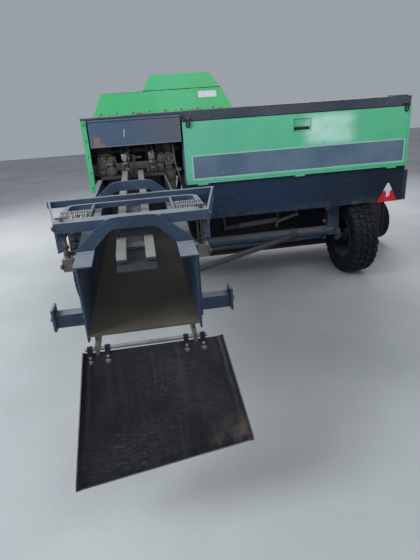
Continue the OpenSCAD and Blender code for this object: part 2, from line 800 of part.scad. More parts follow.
module twine_lid() {
    z0 = lid_low;
    z1 = lid_high;
    x0 = box_left + 2;
    x1 = box_right - 2;
    handle_x = 1335;
    handle_z = 1330;
    color("#52b676") place() {
        difference() {
            union() {
                block([x0, -lid_t, z0], [x1, -lid_gap, z1]);
                block([x0 + 24, -lid_t - 3, z0 + 16], [x1 - 24, -lid_t + 1, z1 - 16]);
            }
            block([x0 + 14, -lid_t + skin, z0 + 14], [x1 - 14, 0, z1 - 14]);
            translate([handle_x, -lid_t, handle_z]) cube([144, 60, 96], center = true);
        }
        difference() {
            block([handle_x - 80, -lid_t + skin, handle_z - 56], [handle_x + 80, -lid_gap - 1, handle_z + 56]);
            block([handle_x - 72, -lid_t + skin - 1, handle_z - 48], [handle_x + 72, -lid_gap - 3, handle_z + 48]);
        }
        for (x = [x0 + 40, x1 - 130])
            block([x, -lid_gap - 8, z0 + 8], [x + 90, -lid_gap, z0 + 60]);
        // hinge barrels on the lower edge
        for (x = lid_hinges)
            difference() {
                union() {
                    bar_x(x, x + hinge_l, lid_pin_y, lid_pin_z, lid_barrel_r);
                    block([x, lid_pin_y - 6, lid_pin_z], [x + hinge_l, lid_pin_y + 6, z0 + 2]);
                }
                bar_x(x - 1, x + hinge_l + 1, lid_pin_y, lid_pin_z, lid_pin_r + running_gap);
            }
    }
}

module lid_latches() {
    color("#23262b") place()
        for (x = [box_left + 34, box_right - 58])
            union() {
                block([x, -lid_t - 14, lid_high - 34], [x + 22, -lid_t - 6, lid_high + 26]);
                block([x, -lid_t - 14, lid_high + 14], [x + 22, -skin - running_gap, lid_high + 26]);
                bar_x(x - 7, x + 29, -lid_t - 10, lid_high - 34, 6);
            }
}

module reflector() {
    x = 2108;
    z = 706;
    color("#b3262c") place() {
        cross_plate(-9, 7) polygon([[x - 90, z - 50], [x + 90, z - 50], [x + 6, z + 106], [x - 6, z + 106]]);
        bar_y(-2, 0, x - 30, z - 20, 8);
        bar_y(-2, 0, x + 30, z - 20, 8);
    }
}

module axle() {
    hanger_y0 = axle_y - 8;
    bracket_x = wheel_right_x - tyre_w / 2 - 120;
    bracket_w = 105;
    color("#35565f") place() {
        bar_x(wheel_left_x + tyre_w / 2 + 30, bracket_x + 52, axle_y, axle_tube_z, axle_tube_r);
        // hangers under the channel's walls
        for (side = [-1, 1])
            block([side > 0 ? wall_in - 16 : -wall_in - sheet_t, hanger_y0, axle_tube_z],
                  [side > 0 ? wall_in + sheet_t : -wall_in + 16, hanger_y0 + 90, wall_low]);
        // right wheel's bracket plate up to the cross beam
        difference() {
            union() {
                block([bracket_x, axle_y - 30, axle_tube_z - 37], [bracket_x + bracket_w, axle_y + 32, beam_low - 1]);
                block([bracket_x, axle_y + 30, beam_low - 60], [bracket_x + bracket_w, beam_y1 - 6.3, beam_low]);
            }
            block([bracket_x + 12, axle_y - 20, axle_tube_z + 60], [bracket_x + bracket_w - 12, axle_y + 24, beam_low - 20]);
        }
        bar_x(bracket_x + bracket_w, wheel_right_x + 60, axle_y, tyre_r, stub_r);
        bar_x(bracket_x + bracket_w - 8, bracket_x + bracket_w + 12, axle_y, tyre_r + 20, 60);
        // left wheel's stub axle
        block([wheel_left_x + tyre_w / 2 + 22, axle_y - 34, tyre_r - 50],
              [wheel_left_x + tyre_w / 2 + 36, axle_y + 34, axle_tube_z + 46]);
        bar_x(wheel_left_x - 60, wheel_left_x + tyre_w / 2 + 30, axle_y, tyre_r, stub_r);
        // lower brace tube and the pickup's relief spring
        rod([wall_out + 22, axle_y + 10, axle_tube_z - 70], [bracket_x - 8, axle_y + 40, axle_tube_z - 62], 20);
        block([wall_out - 4, axle_y - 8, axle_tube_z - 96], [wall_out + 24, axle_y + 40, axle_tube_z - 20]);
        block([bracket_x - 20, axle_y + 10, axle_tube_z - 90], [bracket_x + 8, axle_y + 62, axle_tube_z - 20]);
    }
}

// A tyre round the X axis at its own place
module tyre(x) {
    half = tyre_w / 2;
    color("#1b1c1e") place() translate([x, axle_y, tyre_r]) rotate([0, 90, 0]) {
        rotate_extrude($fn = 64)
            polygon([[rim_r, -bead_w / 2], [rim_r + 40, -half + 4], [tyre_r - 70, -half + 6],
                     [tyre_r - 26, -half + 22], [tyre_r - lug_h, -half + 52],
                     [tyre_r - lug_h, half - 52], [tyre_r - 26, half - 22],
                     [tyre_r - 70, half - 6], [rim_r + 40, half - 4], [rim_r, bead_w / 2]]);
        for (i = [0 : lug_count - 1], side = [-1, 1])
            rotate([0, 0, (i + (side > 0 ? 0.5 : 0)) * 360 / lug_count])
                translate([tyre_r - lug_h - 12, -19, side > 0 ? 10 : -half + 30])
                    cube([lug_h + 12 - 0.6, 38, half - 40]);
    }
}

module tyre_right() {
    tyre(wheel_right_x);
}

module tyre_left() {
    tyre(wheel_left_x);
}

// A pressed steel rim with its hub; out is 1 where the hub cap faces right
module rim(x, out) {
    r = rim_r - running_gap;
    color("#3c6a72") place() translate([x, axle_y, tyre_r]) rotate([0, 90, 0]) difference() {
        union() {
            rotate_extrude($fn = 64)
                polygon([[r - 26, -bead_w / 2], [r, -bead_w / 2], [r, bead_w / 2],
                         [r - 26, bead_w / 2], [r - 26, bead_w / 2 - 10], [r - 12, bead_w / 2 - 22],
                         [r - 12, -bead_w / 2 + 22], [r - 26, -bead_w / 2 + 10]]);
            translate([0, 0, out * 20 - 5]) cylinder(h = 10, r = r - 8);
            translate([0, 0, -66]) cylinder(h = 132, r = hub_r);
        }
        translate([0, 0, -70]) cylinder(h = 140, r = stub_r + running_gap);
        for (i = [0 : 5])
            rotate([0, 0, i * 60]) translate([(r + hub_r) / 2 + 10, 0, out * 20 - 10])
                cylinder(h = 20, r = 22);
    }
}

module rim_right() {
    rim(wheel_right_x, 1);
}

module rim_left() {
    rim(wheel_left_x, -1);
}

module front_frame() {
    color("#33465c") place() {
        cross_plate(channel_fore, 15)
            polygon([[-wall_out, frame_z1 - 40], [wall_out, frame_z1 - 40], [wall_out, roof_z + sheet_t],
                     [-wall_out, roof_z + sheet_t]]);
        for (side = [-1, 1]) {
            translate([0, 0, frame_z0]) linear_extrude(frame_z1 - frame_z0)
                polygon([[side * 150, 1000], [side * 190, 1000], [side * 190, 1400],
                         [side * 110, pivot_y + 40], [side * 70, pivot_y + 40], [side * 150, 1400]]);
            block([side > 0 ? 150 : -190, 1000, frame_z1], [side > 0 ? 190 : -150, 1200, wall_low - 40]);
        }
        for (z = [frame_z0, frame_z1 - lug_t])
            translate([0, 0, z]) linear_extrude(lug_t)
                polygon([[-110, pivot_y - 120], [110, pivot_y - 120], [90, pivot_y + 50],
                         [-90, pivot_y + 50]]);
        bar_z(frame_z0, frame_z1, 0, pivot_y, pivot_r);
        block([-150, 1180, frame_z0], [150, 1220, frame_z1]);
        block([-150, 1440, frame_z0], [150, 1480, frame_z1]);
    }
}

beam_mid = (frame_z0 + frame_z1) / 2;

module drawbar() {
    color("#33465c") place() {
        difference() {
            union() {
                bar_z(frame_z0 + lug_t + 0.5, frame_z1 - lug_t - 0.5, 0, pivot_y, 52);
                block([-34, pivot_y + 20, frame_z0 + lug_t + 4], [34, pivot_y + 140, frame_z1 - lug_t - 4]);
                block([-bar_w / 2, pivot_y + 120, frame_z0 + lug_t - 4], [bar_w / 2, eye_y - 190, frame_z1 - lug_t + 2]);
                block([-32, eye_y - 220, beam_mid - 15], [32, eye_y, beam_mid + 15]);
                bar_z(beam_mid - 15, beam_mid + 15, 0, eye_y, 45);
            }
            bar_z(frame_z0, frame_z1, 0, pivot_y, pivot_r + running_gap);
            bar_z(frame_z0, frame_z1, 0, eye_y, eye_r);
        }
        // jack tube
        difference() {
            union() {
                bar_z(jack_tube_low, jack_leg_top + jack_travel + 20, jack_x, jack_y, jack_tube_r);
                block([jack_x, jack_y - 40, frame_z0 + lug_t], [-bar_w / 2 + 1, jack_y + 40, frame_z1 - lug_t]);
            }
            bar_z(jack_tube_low - 1, jack_leg_top + jack_travel + 8, jack_x, jack_y, jack_r + running_gap);
        }
        bar_z(jack_leg_top + jack_travel + 20, jack_leg_top + jack_travel + 44, jack_x, jack_y, 10);
        rod([jack_x, jack_y, jack_leg_top + jack_travel + 38], [jack_x - 130, jack_y, jack_leg_top + jack_travel + 38], 8);
        rod([jack_x - 122, jack_y, jack_leg_top + jack_travel + 38], [jack_x - 122, jack_y, jack_leg_top + jack_travel + 120], 9);
        // cradle for the drive shaft, tilted as the shaft is
        block([-10, pivot_y + 854, frame_z1 - lug_t], [10, pivot_y + 876, drive_z - 276]);
        translate([0, pivot_y, drive_z]) rotate([-pto_fall, 0, 0]) rotate([-90, 0, 0])
            translate([0, 0, 880]) difference() {
                cylinder(h = 40, r = pto_r + 5);
                translate([0, 0, -1]) cylinder(h = 42, r = pto_r - 6 + running_gap);
                translate([-80, -82, -1]) cube([160, 80, 42]);
            }
    }
}

module jack_leg() {
    color("#8b8f93") place() {
        bar_z(foot_t - 1, jack_leg_top, jack_x, jack_y, jack_r);
        bar_z(0, foot_t, jack_x, jack_y, foot_r);
    }
}

module gearbox() {
    y0 = channel_fore + 15;
    color("#3b4d60") place() {
        block([-130, y0, drive_z - 130], [130, y0 + 170, drive_z + 120]);
        cross_plate(y0 + 20, 130) intersection() {
            translate([0, drive_z]) circle(r = 168);
            translate([-168, drive_z - 140]) square([336, 300]);
        }
        bar_y(y0 + 170, fly_y - 12, 0, drive_z, 86);
        bar_y(y0 + 170, fly_y - 7 - running_gap, 0, drive_z, 46);
        for (side = [-1, 1])
            block([side * 110 - 14, y0, frame_z1], [side * 110 + 14, y0 + 150, drive_z - 120]);
    }
}

module flywheel() {
    color("#4c5a66") place() translate([0, fly_y, drive_z]) rotate([-90, 0, 0]) {
        rotate_extrude($fn = 96)
            polygon([[0, 18], [fly_r - 60, 18], [fly_r - 60, 0], [fly_r, 0], [fly_r, fly_t],
                     [fly_r - 60, fly_t], [fly_r - 60, 44], [90, 44], [90, 66], [0, 66]]);
        translate([0, 0, -7]) cylinder(h = 30, r = 44);
        cylinder(h = stub_end - fly_y, r = 17);
        for (i = [0 : 5])
            rotate([0, 0, i * 60]) translate([66, 0, 60]) cylinder(h = 14, r = 8, $fn = 6);
    }
}

module flywheel_guard() {
    ring = fly_r + 26;
    color("#3b4d60") place() {
        cross_plate(fly_y - 22, fly_t + 40) difference() {
            translate([0, drive_z]) circle(r = ring, $fn = 96);
            translate([0, drive_z]) circle(r = ring - 5, $fn = 96);
            translate([-ring - 1, drive_z - ring - 1]) square([2 * ring + 2, ring - 60]);
        }
        for (side = [-1, 1]) {
            rod([side * (ring - 4) * cos(20), fly_y - 16, drive_z + (ring - 4) * sin(20)],
                [side * (wall_out - 20), channel_fore + 24, roof_z - 44], 9);
            block([side * (wall_out - 20) - 16, channel_fore + 15, roof_z - 62],
                  [side * (wall_out - 20) + 16, channel_fore + 30, roof_z - 28]);
        }
    }
}

module pto_shaft() {
    color("#2b2d30") place() translate([0, pivot_y, drive_z]) rotate([-pto_fall, 0, 0]) rotate([-90, 0, 0]) {
        // guard bells and tubes, the rear bell hollow round its yoke
        rotate_extrude($fn = 48)
            polygon([[80, -70], [86, -70], [70, 40], [pto_r, 80], [pto_r, 560], [pto_r - 6, 560],
                     [pto_r - 6, pto_len - 60], [70, pto_len - 10], [82, pto_len + 40],
                     [76, pto_len + 40], [62, pto_len - 4], [0, pto_len - 50], [0, -40],
                     [30, -40], [30, 60], [62, 34]]);
        translate([0, 0, pto_len - 60]) cylinder(h = 60, r = 17);
        translate([0, 0, pto_len]) difference() {
            union() {
                cylinder(h = 20, r = 40);
                for (side = [-1, 1])
                    translate([side * 34 - 8, -22, 0]) cube([16, 44, 90]);
            }
            translate([-60, 0, 66]) rotate([0, 90, 0]) cylinder(h = 120, r = 11);
        }
    }
}

module drive_case() {
    color("#54b878") place() {
        side_plate(-wall_out + 30, 70) union() {
            polygon([[box_depth + 16, roof_z + sheet_t], [channel_fore + 10, roof_z + sheet_t],
                     [channel_fore - 20, roof_z + 150], [box_depth + 16, roof_z + 190]]);
        }
    }
}

reel_pitch = (pick_right - pick_left) / band_count;
bar_ring = 128;
bar_r = 12;

// The end plates, rear tubes and lift arms of the pickup
module pickup_frame() {
    top_z = reel_z + band_r;
    low_z = reel_z - band_r;
    color("#6b4a3a") place() {
        for (x = [pick_left - side_t, pick_right])
            difference() {
                side_plate(x, side_t) union() {
                    translate([reel_y, reel_z]) circle(r = band_r + 14, $fn = 64);
                    polygon([[leg_y - 34, low_z - 10], [reel_y, reel_z - band_r - 14],
                             [reel_y, reel_z + band_r + 14], [guard_pivot_y + 34, guard_pivot_z + 18],
                             [lift_y + 10, lift_z + 34], [lift_y - 40, lift_z + 10],
                             [leg_y - 34, top_z + 30]]);
                }
                bar_x(x - 1, x + side_t + 1, lift_y, lift_z, lift_pin_r + running_gap);
                bar_x(x - 1, x + side_t + 1, reel_y, reel_z, reel_shaft_r + running_gap);
            }
        bar_x(pick_left - 1, pick_right + 1, leg_y, top_z, 24);
        bar_x(pick_left - 1, pick_right + 1, leg_y, low_z, 20);
        // guard pins and the gauge wheel's arm
        bar_x(pick_left - side_t - 26, pick_left - side_t + 1, guard_pivot_y, guard_pivot_z, 10);
        bar_x(pick_right + side_t - 1, pick_right + side_t + 26, guard_pivot_y, guard_pivot_z, 10);
        bar_x(pick_right + side_t - 1, pick_right + side_t + 46 + gauge_w, reel_y + 20, gauge_z, gauge_axle_r);
        bar_x(pick_right + side_t - 1, pick_right + side_t + 40, reel_y + 20, gauge_z, 26);
    }
}

module pickup_reel() {
    color("#55585a") place() {
        bar_x(pick_left - side_t - 8, pick_right + side_t + 8, reel_y, reel_z, reel_shaft_r);
        bar_x(pick_left + 20, pick_right - 20, reel_y, reel_z, 44);
        for (bar = [0 : bar_count - 1])
            translate([0, reel_y, reel_z]) rotate([bar * 360 / bar_count + 20, 0, 0]) {
                bar_x(pick_left + 12, pick_right - 12, bar_ring, 0, bar_r);
                for (x = [pick_left + 30, (pick_left + pick_right) / 2 - 8, pick_right - 46])
                    block([x, 0, -12], [x + 16, bar_ring, 12]);
                for (i = [0 : band_count - 2])
                    translate([pick_left + reel_pitch * (i + 1), bar_ring, 0])
                        rotate([0, 0, 0]) rod([0, -2, 0], [0, tine_r - bar_ring - 8, -26], 4.5, 6);
            }
    }
}

// Stripper bands, each bent round the front of the reel
module pickup_strippers() {
    t = 4;
    tube = 24;
    color("#7a5a48") place()
        for (i = [0 : band_count - 1])
            side_plate(pick_left + reel_pitch * (i + 0.5) - band_w / 2, band_w)
                difference() {
                    union() {
                        translate([reel_y, reel_z]) circle(r = band_r + t, $fn = 64);
                        translate([leg_y, reel_z - band_r - t]) square([reel_y - leg_y, 2 * (band_r + t)]);
                    }
                    translate([reel_y, reel_z]) circle(r = band_r, $fn = 64);
                    translate([leg_y - 1, reel_z - band_r]) square([reel_y - leg_y + 1, 2 * band_r]);
                    translate([leg_y, reel_z + band_r]) circle(r = tube);
                    translate([leg_y, reel_z - band_r]) circle(r = tube - 4);
                }
}

module wind_guard() {
    arm_l = pick_left - side_t - 22;
    arm_r = pick_right + side_t + 12;
    rods = 16;
    color("#44525e") place() {
        bar_x(arm_l, arm_r + 10, guard_tube_y, guard_tube_z, 18);
        for (x = [arm_l, arm_r])
            difference() {
                side_plate(x, 10) polygon([[guard_pivot_y - 18, guard_pivot_z - 16],
                                           [guard_pivot_y + 12, guard_pivot_z - 16],
                                           [guard_tube_y + 14, guard_tube_z - 12],
                                           [guard_tube_y + 10, guard_tube_z + 22],
                                           [guard_pivot_y - 16, guard_pivot_z + 22]]);
                bar_x(x - 1, x + 11, guard_pivot_y, guard_pivot_z, 10 + running_gap);
            }
        for (i = [0 : rods - 1]) {
            x = pick_left + 60 + i * (pick_right - pick_left - 120) / (rods - 1);
            rod([x, guard_tube_y, guard_tube_z], [x, 1020, 642], 5, 12);
            rod([x, 1022, 642], [x, 930, 614], 5, 12);
        }
    }
}

module gauge_wheel() {
    x = pick_right + side_t + 44;
    color("#26282b") place() translate([x, reel_y + 20, gauge_z]) rotate([0, 90, 0]) difference() {
        rotate_extrude($fn = 64)
            polygon([[0, 24], [90, 24], [130, 8], [170, 2], [gauge_r - 8, 14], [gauge_r, 34],
                     [gauge_r, gauge_w - 34], [gauge_r - 8, gauge_w - 14], [170, gauge_w - 2],
                     [130, gauge_w - 8], [90, gauge_w - 24], [0, gauge_w - 24]]);
        translate([0, 0, -1]) cylinder(h = gauge_w + 2, r = gauge_axle_r + running_gap);
    }
}

module feeder_table() {
    z = floor_z - table_t;
    color("#5f6a70") place() {
        block([wall_out, beam_y1, z], [box_right, feed_y1, floor_z]);
        block([wall_out, beam_y1 - 6, beam_low - 40], [box_right, beam_y1, z + 1]);
        for (x = [wall_out + 60, box_right - 12])
            difference() {
                block([x, lift_y - 44, lift_z - 36], [x + 12, lift_y + 44, z]);
                bar_x(x - 1, x + 13, lift_y, lift_z, lift_pin_r - 4);
            }
        bar_x(wall_out + 72, pick_left + 14, lift_y, lift_z, lift_pin_r);
        bar_x(box_right, pick_right + side_t + 12, lift_y, lift_z, lift_pin_r);
    }
}

// Outline of the feeder housing's cover in [y, z]
module hood_profile(grow) {
    polygon([[box_depth, top_flange - 170 + grow], [feed_y1 - 60, 1210 + grow], [feed_y1 + 30 + grow, 1120],
             [feed_y1 + 30 + grow, hood_front_z], [feed_y1 + 26, hood_front_z], [feed_y1 + 26, 1118],
             [feed_y1 - 62, 1206], [box_depth, top_flange - 174]]);
}

module feeder_hood() {
    color("#54b878") place() {
        side_plate(wall_out, box_right - wall_out) hood_profile(0);
        side_plate(box_right - skin, skin)
            polygon([[box_depth, floor_z], [feed_y1, floor_z], [feed_y1 + 29, hood_front_z],
                     [feed_y1 + 29, 1120], [feed_y1 - 61, 1209], [box_depth, top_flange - 172]]);
        side_plate(wall_out, skin)
            polygon([[box_depth, roof_z + 60], [feed_y1 + 29, roof_z + 60],
                     [feed_y1 + 29, 1120], [feed_y1 - 61, 1209], [box_depth, top_flange - 172]]);
    }
}

// Height of the feeder cover's inner face over its slope
function hood_under(y) = top_flange - 174 - (y - box_depth) * (top_flange - 174 - 1206)
                         / (feed_y1 - 62 - box_depth);

module feeder_forks() {
    color("#6b6f70") place() {
        block([wall_out + 60, 610, 1060], [box_right - 120, 660, 1110]);
        for (x = [wall_out + 322, (wall_out + box_right) / 2 + 59, box_right - 204])
            block([x - 5, 624, 1105], [x + 5, 646, hood_under(646) - 0.3]);
        for (x = [430, 900, 1370, 1840], y = [560, 635, 710]) {
            rod([x, 635, 1080], [x, y, 1000], 12, 16);
            rod([x, y, 1004], [x - 60, y, 730], 12, 16);
        }
    }
}

// Two curved needles on a bar that swings below the channel
module needle_yoke() {
    color("#7b7f82") place() translate([0, needle_pivot_y, needle_pivot_z]) {
        for (side = [-1, 1]) {
            side_plate(side * needle_x - needle_t / 2, needle_t) difference() {
                needle_sector(needle_r + needle_half, needle_tip + 4, 93);
                circle(r = needle_r - needle_half, $fn = 96);
            }
            side_plate(side * needle_x - needle_t / 2 + 2, needle_t - 4) difference() {
                needle_sector(needle_r + 7, needle_tip, 60);
                circle(r = needle_r - 10, $fn = 96);
            }
            difference() {
                side_plate(side > 0 ? yoke_arm_x : -yoke_arm_x - yoke_arm_t, yoke_arm_t)
                    union() {
                        circle(r = 36);
                        polygon([[-32, 0], [32, 0], [28, -needle_r], [-28, -needle_r]]);
                    }
                bar_x(-400, 400, 0, 0, needle_pin_r + running_gap);
            }
        }
        bar_x(-yoke_arm_x - yoke_arm_t, yoke_arm_x + yoke_arm_t, 0, -needle_r, 24);
    }
}

// A disc's sector between two angles below the +Y direction
module needle_sector(r, a0, a1) {
    reach = 2 * r;
    mid = (a0 + a1) / 2;
    intersection() {
        circle(r = r, $fn = 96);
        polygon([[0, 0], [reach * cos(a0), -reach * sin(a0)], [reach * cos(mid), -reach * sin(mid)],
                 [reach * cos(a1), -reach * sin(a1)]]);
    }
}

module chute() {
    color("#1f222a") place() translate([0, hinge_y, hinge_z]) rotate([chute_slope, 0, 0]) {
        // in this frame the sheet lies level and runs towards -Y from the hinge
        left_top = -chute_w_top / 2 + chute_shift;
        right_top = chute_w_top / 2 + chute_shift;
        left_end = -chute_w_end / 2 + chute_shift;
        right_end = chute_w_end / 2 + chute_shift;
        translate([0, 0, -chute_t / 2]) linear_extrude(chute_t)
            polygon([[left_top, -30], [right_top, -30], [right_end, -chute_len + chute_skew],
                     [left_end, -chute_len]]);
        linear_extrude(chute_lip)
            polygon([[left_top, -30], [left_top + chute_t, -30], [left_end + chute_t, -chute_len],
                     [left_end, -chute_len]]);
        linear_extrude(chute_lip)
            polygon([[right_top - chute_t, -30], [right_top, -30],
                     [right_end, -chute_len + chute_skew], [right_end - chute_t, -chute_len + chute_skew]]);
        for (x = [-240, -170, 150, 220])
            block([x, -60, -14], [x + 20, 14, 14]);
        bar_x(-250, 250, 0, 0, hinge_r - running_gap);
    }
}

channel_left();
channel_right();
channel_floor();
channel_roof();
plunger();
top_rails();
arch_front();
arch_rear();
tension_frame();
tension_screws();
lower_beam();
knotter_shaft();
knotter_left();
knotter_right();
knotter_flap();
left_shield();
hood();
twine_box();
top_cover();
end_panel();
twine_lid();
lid_latches();
reflector();
axle();
tyre_right();
rim_right();
tyre_left();
rim_left();
front_frame();
drawbar();
jack_leg();
gearbox();
flywheel();
flywheel_guard();
pto_shaft();
drive_case();
pickup_frame();
pickup_reel();
pickup_strippers();
wind_guard();
gauge_wheel();
feeder_table();
feeder_hood();
feeder_forks();
needle_yoke();
chute();
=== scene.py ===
# Looks of the small square baler: paint, rust, dust, tread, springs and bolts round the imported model
import math

import bmesh
import bpy
from mathutils import Matrix, Vector


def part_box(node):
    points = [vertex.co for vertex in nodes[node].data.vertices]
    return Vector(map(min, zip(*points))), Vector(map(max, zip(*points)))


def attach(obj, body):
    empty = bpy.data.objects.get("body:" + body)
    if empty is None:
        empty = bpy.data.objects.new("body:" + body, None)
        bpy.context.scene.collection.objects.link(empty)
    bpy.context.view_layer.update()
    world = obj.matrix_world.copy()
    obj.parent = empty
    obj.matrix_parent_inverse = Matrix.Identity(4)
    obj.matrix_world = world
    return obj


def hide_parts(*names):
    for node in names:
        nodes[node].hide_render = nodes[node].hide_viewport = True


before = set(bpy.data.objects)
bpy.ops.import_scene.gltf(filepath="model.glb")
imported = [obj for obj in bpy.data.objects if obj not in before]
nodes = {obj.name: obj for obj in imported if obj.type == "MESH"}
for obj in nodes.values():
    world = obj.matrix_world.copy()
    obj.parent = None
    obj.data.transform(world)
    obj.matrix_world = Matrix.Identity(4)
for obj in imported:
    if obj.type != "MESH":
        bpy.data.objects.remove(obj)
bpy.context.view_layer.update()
print("frame loaded:", len(nodes), "pieces")

# The drawing's own zero: channel centre line, rear face of the twine box, ground
zeroX = (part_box("channel_roof")[0].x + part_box("channel_roof")[1].x) / 2
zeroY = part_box("end_panel")[0].y


def at(x, y, z):
    # millimetres from the drawing's zero to metres in the frame
    return Vector((zeroX + x / 1000, zeroY + y / 1000, z / 1000))


# Camera and stage

photoView = {"x": 55, "y": -3474, "z": 1540, "yaw": 7.869, "pitch": 21.976, "roll": -3.87, "lens": 28.295}


def makeCamera(view):
    yaw, pitch, roll = (math.radians(view[key]) for key in ("yaw", "pitch", "roll"))
    ahead = Vector((math.sin(yaw) * math.cos(pitch), math.cos(yaw) * math.cos(pitch), -math.sin(pitch)))
    level = Vector((math.cos(yaw), -math.sin(yaw), 0))
    upright = level.cross(ahead)
    right = level * math.cos(roll) + upright * math.sin(roll)
    up = upright * math.cos(roll) - level * math.sin(roll)
    data = bpy.data.cameras.new("camera")
    data.lens = view["lens"]
    data.sensor_width = 36
    data.clip_start = 0.05
    camera = bpy.data.objects.new("camera", data)
    turn = Matrix((right, up, -ahead)).transposed().to_4x4()
    camera.matrix_world = Matrix.Translation(at(view["x"], view["y"], view["z"])) @ turn
    bpy.context.scene.collection.objects.link(camera)
    bpy.context.scene.camera = camera


makeCamera(photoView)

lightSet = {
    "sky": (0.80, 0.88, 0.97), "skyPower": 0.40,
    "lamps": [  # place, aim, size, power, colour
        ((-3600, -2400, 3400), (200, -500, 700), 2.6, 215, (0.92, 0.97, 1.0)),
        ((2600, -3400, 4200), (900, 100, 800), 3.4, 75, (0.98, 0.99, 1.0)),
        ((3200, 3600, 3400), (900, 600, 700), 3.0, 110, (0.97, 0.98, 1.0)),
        ((-2600, 3000, 2600), (0, 900, 700), 2.6, 80, (0.97, 0.98, 1.0)),
    ],
}


def makeLights(look):
    bpy.context.scene.view_settings.view_transform = "Standard"
    world = bpy.data.worlds.new("studio")
    world.use_nodes = True
    sky = world.node_tree.nodes["Background"]
    sky.inputs["Color"].default_value = (*look["sky"], 1)
    sky.inputs["Strength"].default_value = look["skyPower"]
    bpy.context.scene.world = world
    for number, (place, aim, size, power, colour) in enumerate(look["lamps"]):
        data = bpy.data.lights.new(f"lamp{number}", "AREA")
        data.size = size
        data.energy = power
        data.color = colour
        lamp = bpy.data.objects.new(f"lamp{number}", data)
        lamp.location = at(*place)
        lamp.rotation_euler = (at(*aim) - at(*place)).to_track_quat("-Z", "Y").to_euler()
        bpy.context.scene.collection.objects.link(lamp)


makeLights(lightSet)


# Node kit: maths on sockets reads as plain sums, in materials and in Geometry Nodes alike

class Value:
    def __init__(self, kit, socket):
        self.kit = kit
        self.socket = socket

    def join(self, operation, first, second, clamp=False):
        settings = {"operation": operation, "use_clamp": clamp}
        return self.kit.node("ShaderNodeMath", settings, {0: first, 1: second})[0]

    def __add__(self, other):
        return self.join("ADD", self, other)

    def __sub__(self, other):
        return self.join("SUBTRACT", self, other)

    def __rsub__(self, other):
        return self.join("SUBTRACT", other, self)

    def __mul__(self, other):
        return self.join("MULTIPLY", self, other)

    def __truediv__(self, other):
        return self.join("DIVIDE", self, other)

    def __pow__(self, other):
        return self.join("POWER", self, other)

    __radd__ = __add__
    __rmul__ = __mul__

    def over(self, edge):
        return self.join("GREATER_THAN", self, edge)

    def under(self, edge):
        return self.join("LESS_THAN", self, edge)

    def most(self, other):
        return self.join("MAXIMUM", self, other)

    def size(self):
        return self.join("ABSOLUTE", self, 0)

    def clamp(self):
        return self.join("ADD", self, 0, clamp=True)

    def spread(self, low, high):
        # 0 below low, 1 above high, smooth between
        settings = {"interpolation_type": "SMOOTHSTEP"}
        inputs = {"Value": self, "From Min": low, "From Max": high}
        return self.kit.node("ShaderNodeMapRange", settings, inputs)[0]

    def within(self, low, high, soft):
        # 1 between low and high, with soft edges
        return self.spread(low - soft, low + soft) * (1 - self.spread(high - soft, high + soft))


class Sockets:
    def __init__(self, kit, made):
        self.kit = kit
        self.made = made

    def __getitem__(self, key):
        return Value(self.kit, self.made.outputs[key])


class Kit:
    # a node tree; its nodes all come from node()
    def node(self, kind, settings=None, inputs=None):
        made = self.tree.nodes.new(kind)
        for key, value in (settings or {}).items():
            setattr(made, key, value)
        for key, value in (inputs or {}).items():
            self.feed(made.inputs[key], value)
        return Sockets(self, made)

    def feed(self, socket, value):
        if isinstance(value, Value):
            self.tree.links.new(value.socket, socket)
        elif isinstance(value, list):
            for one in value:
                self.tree.links.new(one.socket, socket)
        elif hasattr(value, "__len__") and socket.type == "RGBA" and len(value) == 3:
            socket.default_value = (*value, 1)
        else:
            socket.default_value = value


class Finish(Kit):
    # one material
    def __init__(self, name):
        self.material = bpy.data.materials.new(name)
        self.material.use_nodes = True
        self.tree = self.material.node_tree
        self.shader = self.tree.nodes["Principled BSDF"]
        coordinates = self.node("ShaderNodeTexCoord")
        self.place = coordinates["Object"]
        self.facing = coordinates["Normal"]

    def axis(self, vector, name):
        return self.node("ShaderNodeSeparateXYZ", None, {0: vector})[name]

    def across(self):
        return (self.axis(self.place, "X") - zeroX) * 1000  # the drawing's millimetres

    def along(self):
        return (self.axis(self.place, "Y") - zeroY) * 1000

    def height(self):
        return self.axis(self.place, "Z") * 1000

    def stretch(self, scale, vector=None):
        return self.node("ShaderNodeMapping", None, {"Vector": vector or self.place, "Scale": scale})[0]

    def noise(self, scale, detail=3, rough=0.55, vector=None, twist=0):
        inputs = {"Vector": vector or self.place, "Scale": scale, "Detail": detail,
                  "Roughness": rough, "Distortion": twist}
        return self.node("ShaderNodeTexNoise", None, inputs)[0]

    def cells(self, scale, feature="F1", vector=None):
        inputs = {"Vector": vector or self.place, "Scale": scale}
        return self.node("ShaderNodeTexVoronoi", {"feature": feature}, inputs)["Distance"]

    def mix(self, mask, low, high):
        inputs = {0: mask, 6: low, 7: high}
        return self.node("ShaderNodeMix", {"data_type": "RGBA"}, inputs)[2]

    def bump(self, height, strength, depth=0.002, under=None):
        inputs = {"Height": height, "Strength": strength, "Distance": depth}
        if under:
            inputs["Normal"] = under
        return self.node("ShaderNodeBump", None, inputs)[0]

    def set(self, **inputs):
        names = {"colour": "Base Color", "rough": "Roughness", "metal": "Metallic", "coat": "Coat Weight",
                 "normal": "Normal", "glow": "Emission Color", "sheen": "Specular IOR Level"}
        for key, value in inputs.items():
            self.feed(self.shader.inputs[names[key]], value)
        return self.material


# Finishes

dust = (0.30, 0.265, 0.21)
paleDust = (0.47, 0.46, 0.43)
rust = (0.20, 0.075, 0.03)


# What a look has where it says nothing else
plainLook = {
    "metal": 0.0, "sheen": 0.3, "dust": 0.6, "dustColour": dust, "dustPower": 3.0,
    "dustEdge": 0.25, "film": 0.2, "streaks": 0.1, "streakColour": dust, "chips": 0.33, "chipColour": rust,
    "chipScale": 26, "grain": 55, "relief": 0.3, "dents": 0.25, "dentScale": 3.5,
    "patchScale": 2.4, "scratchWidth": 0.0015,
}


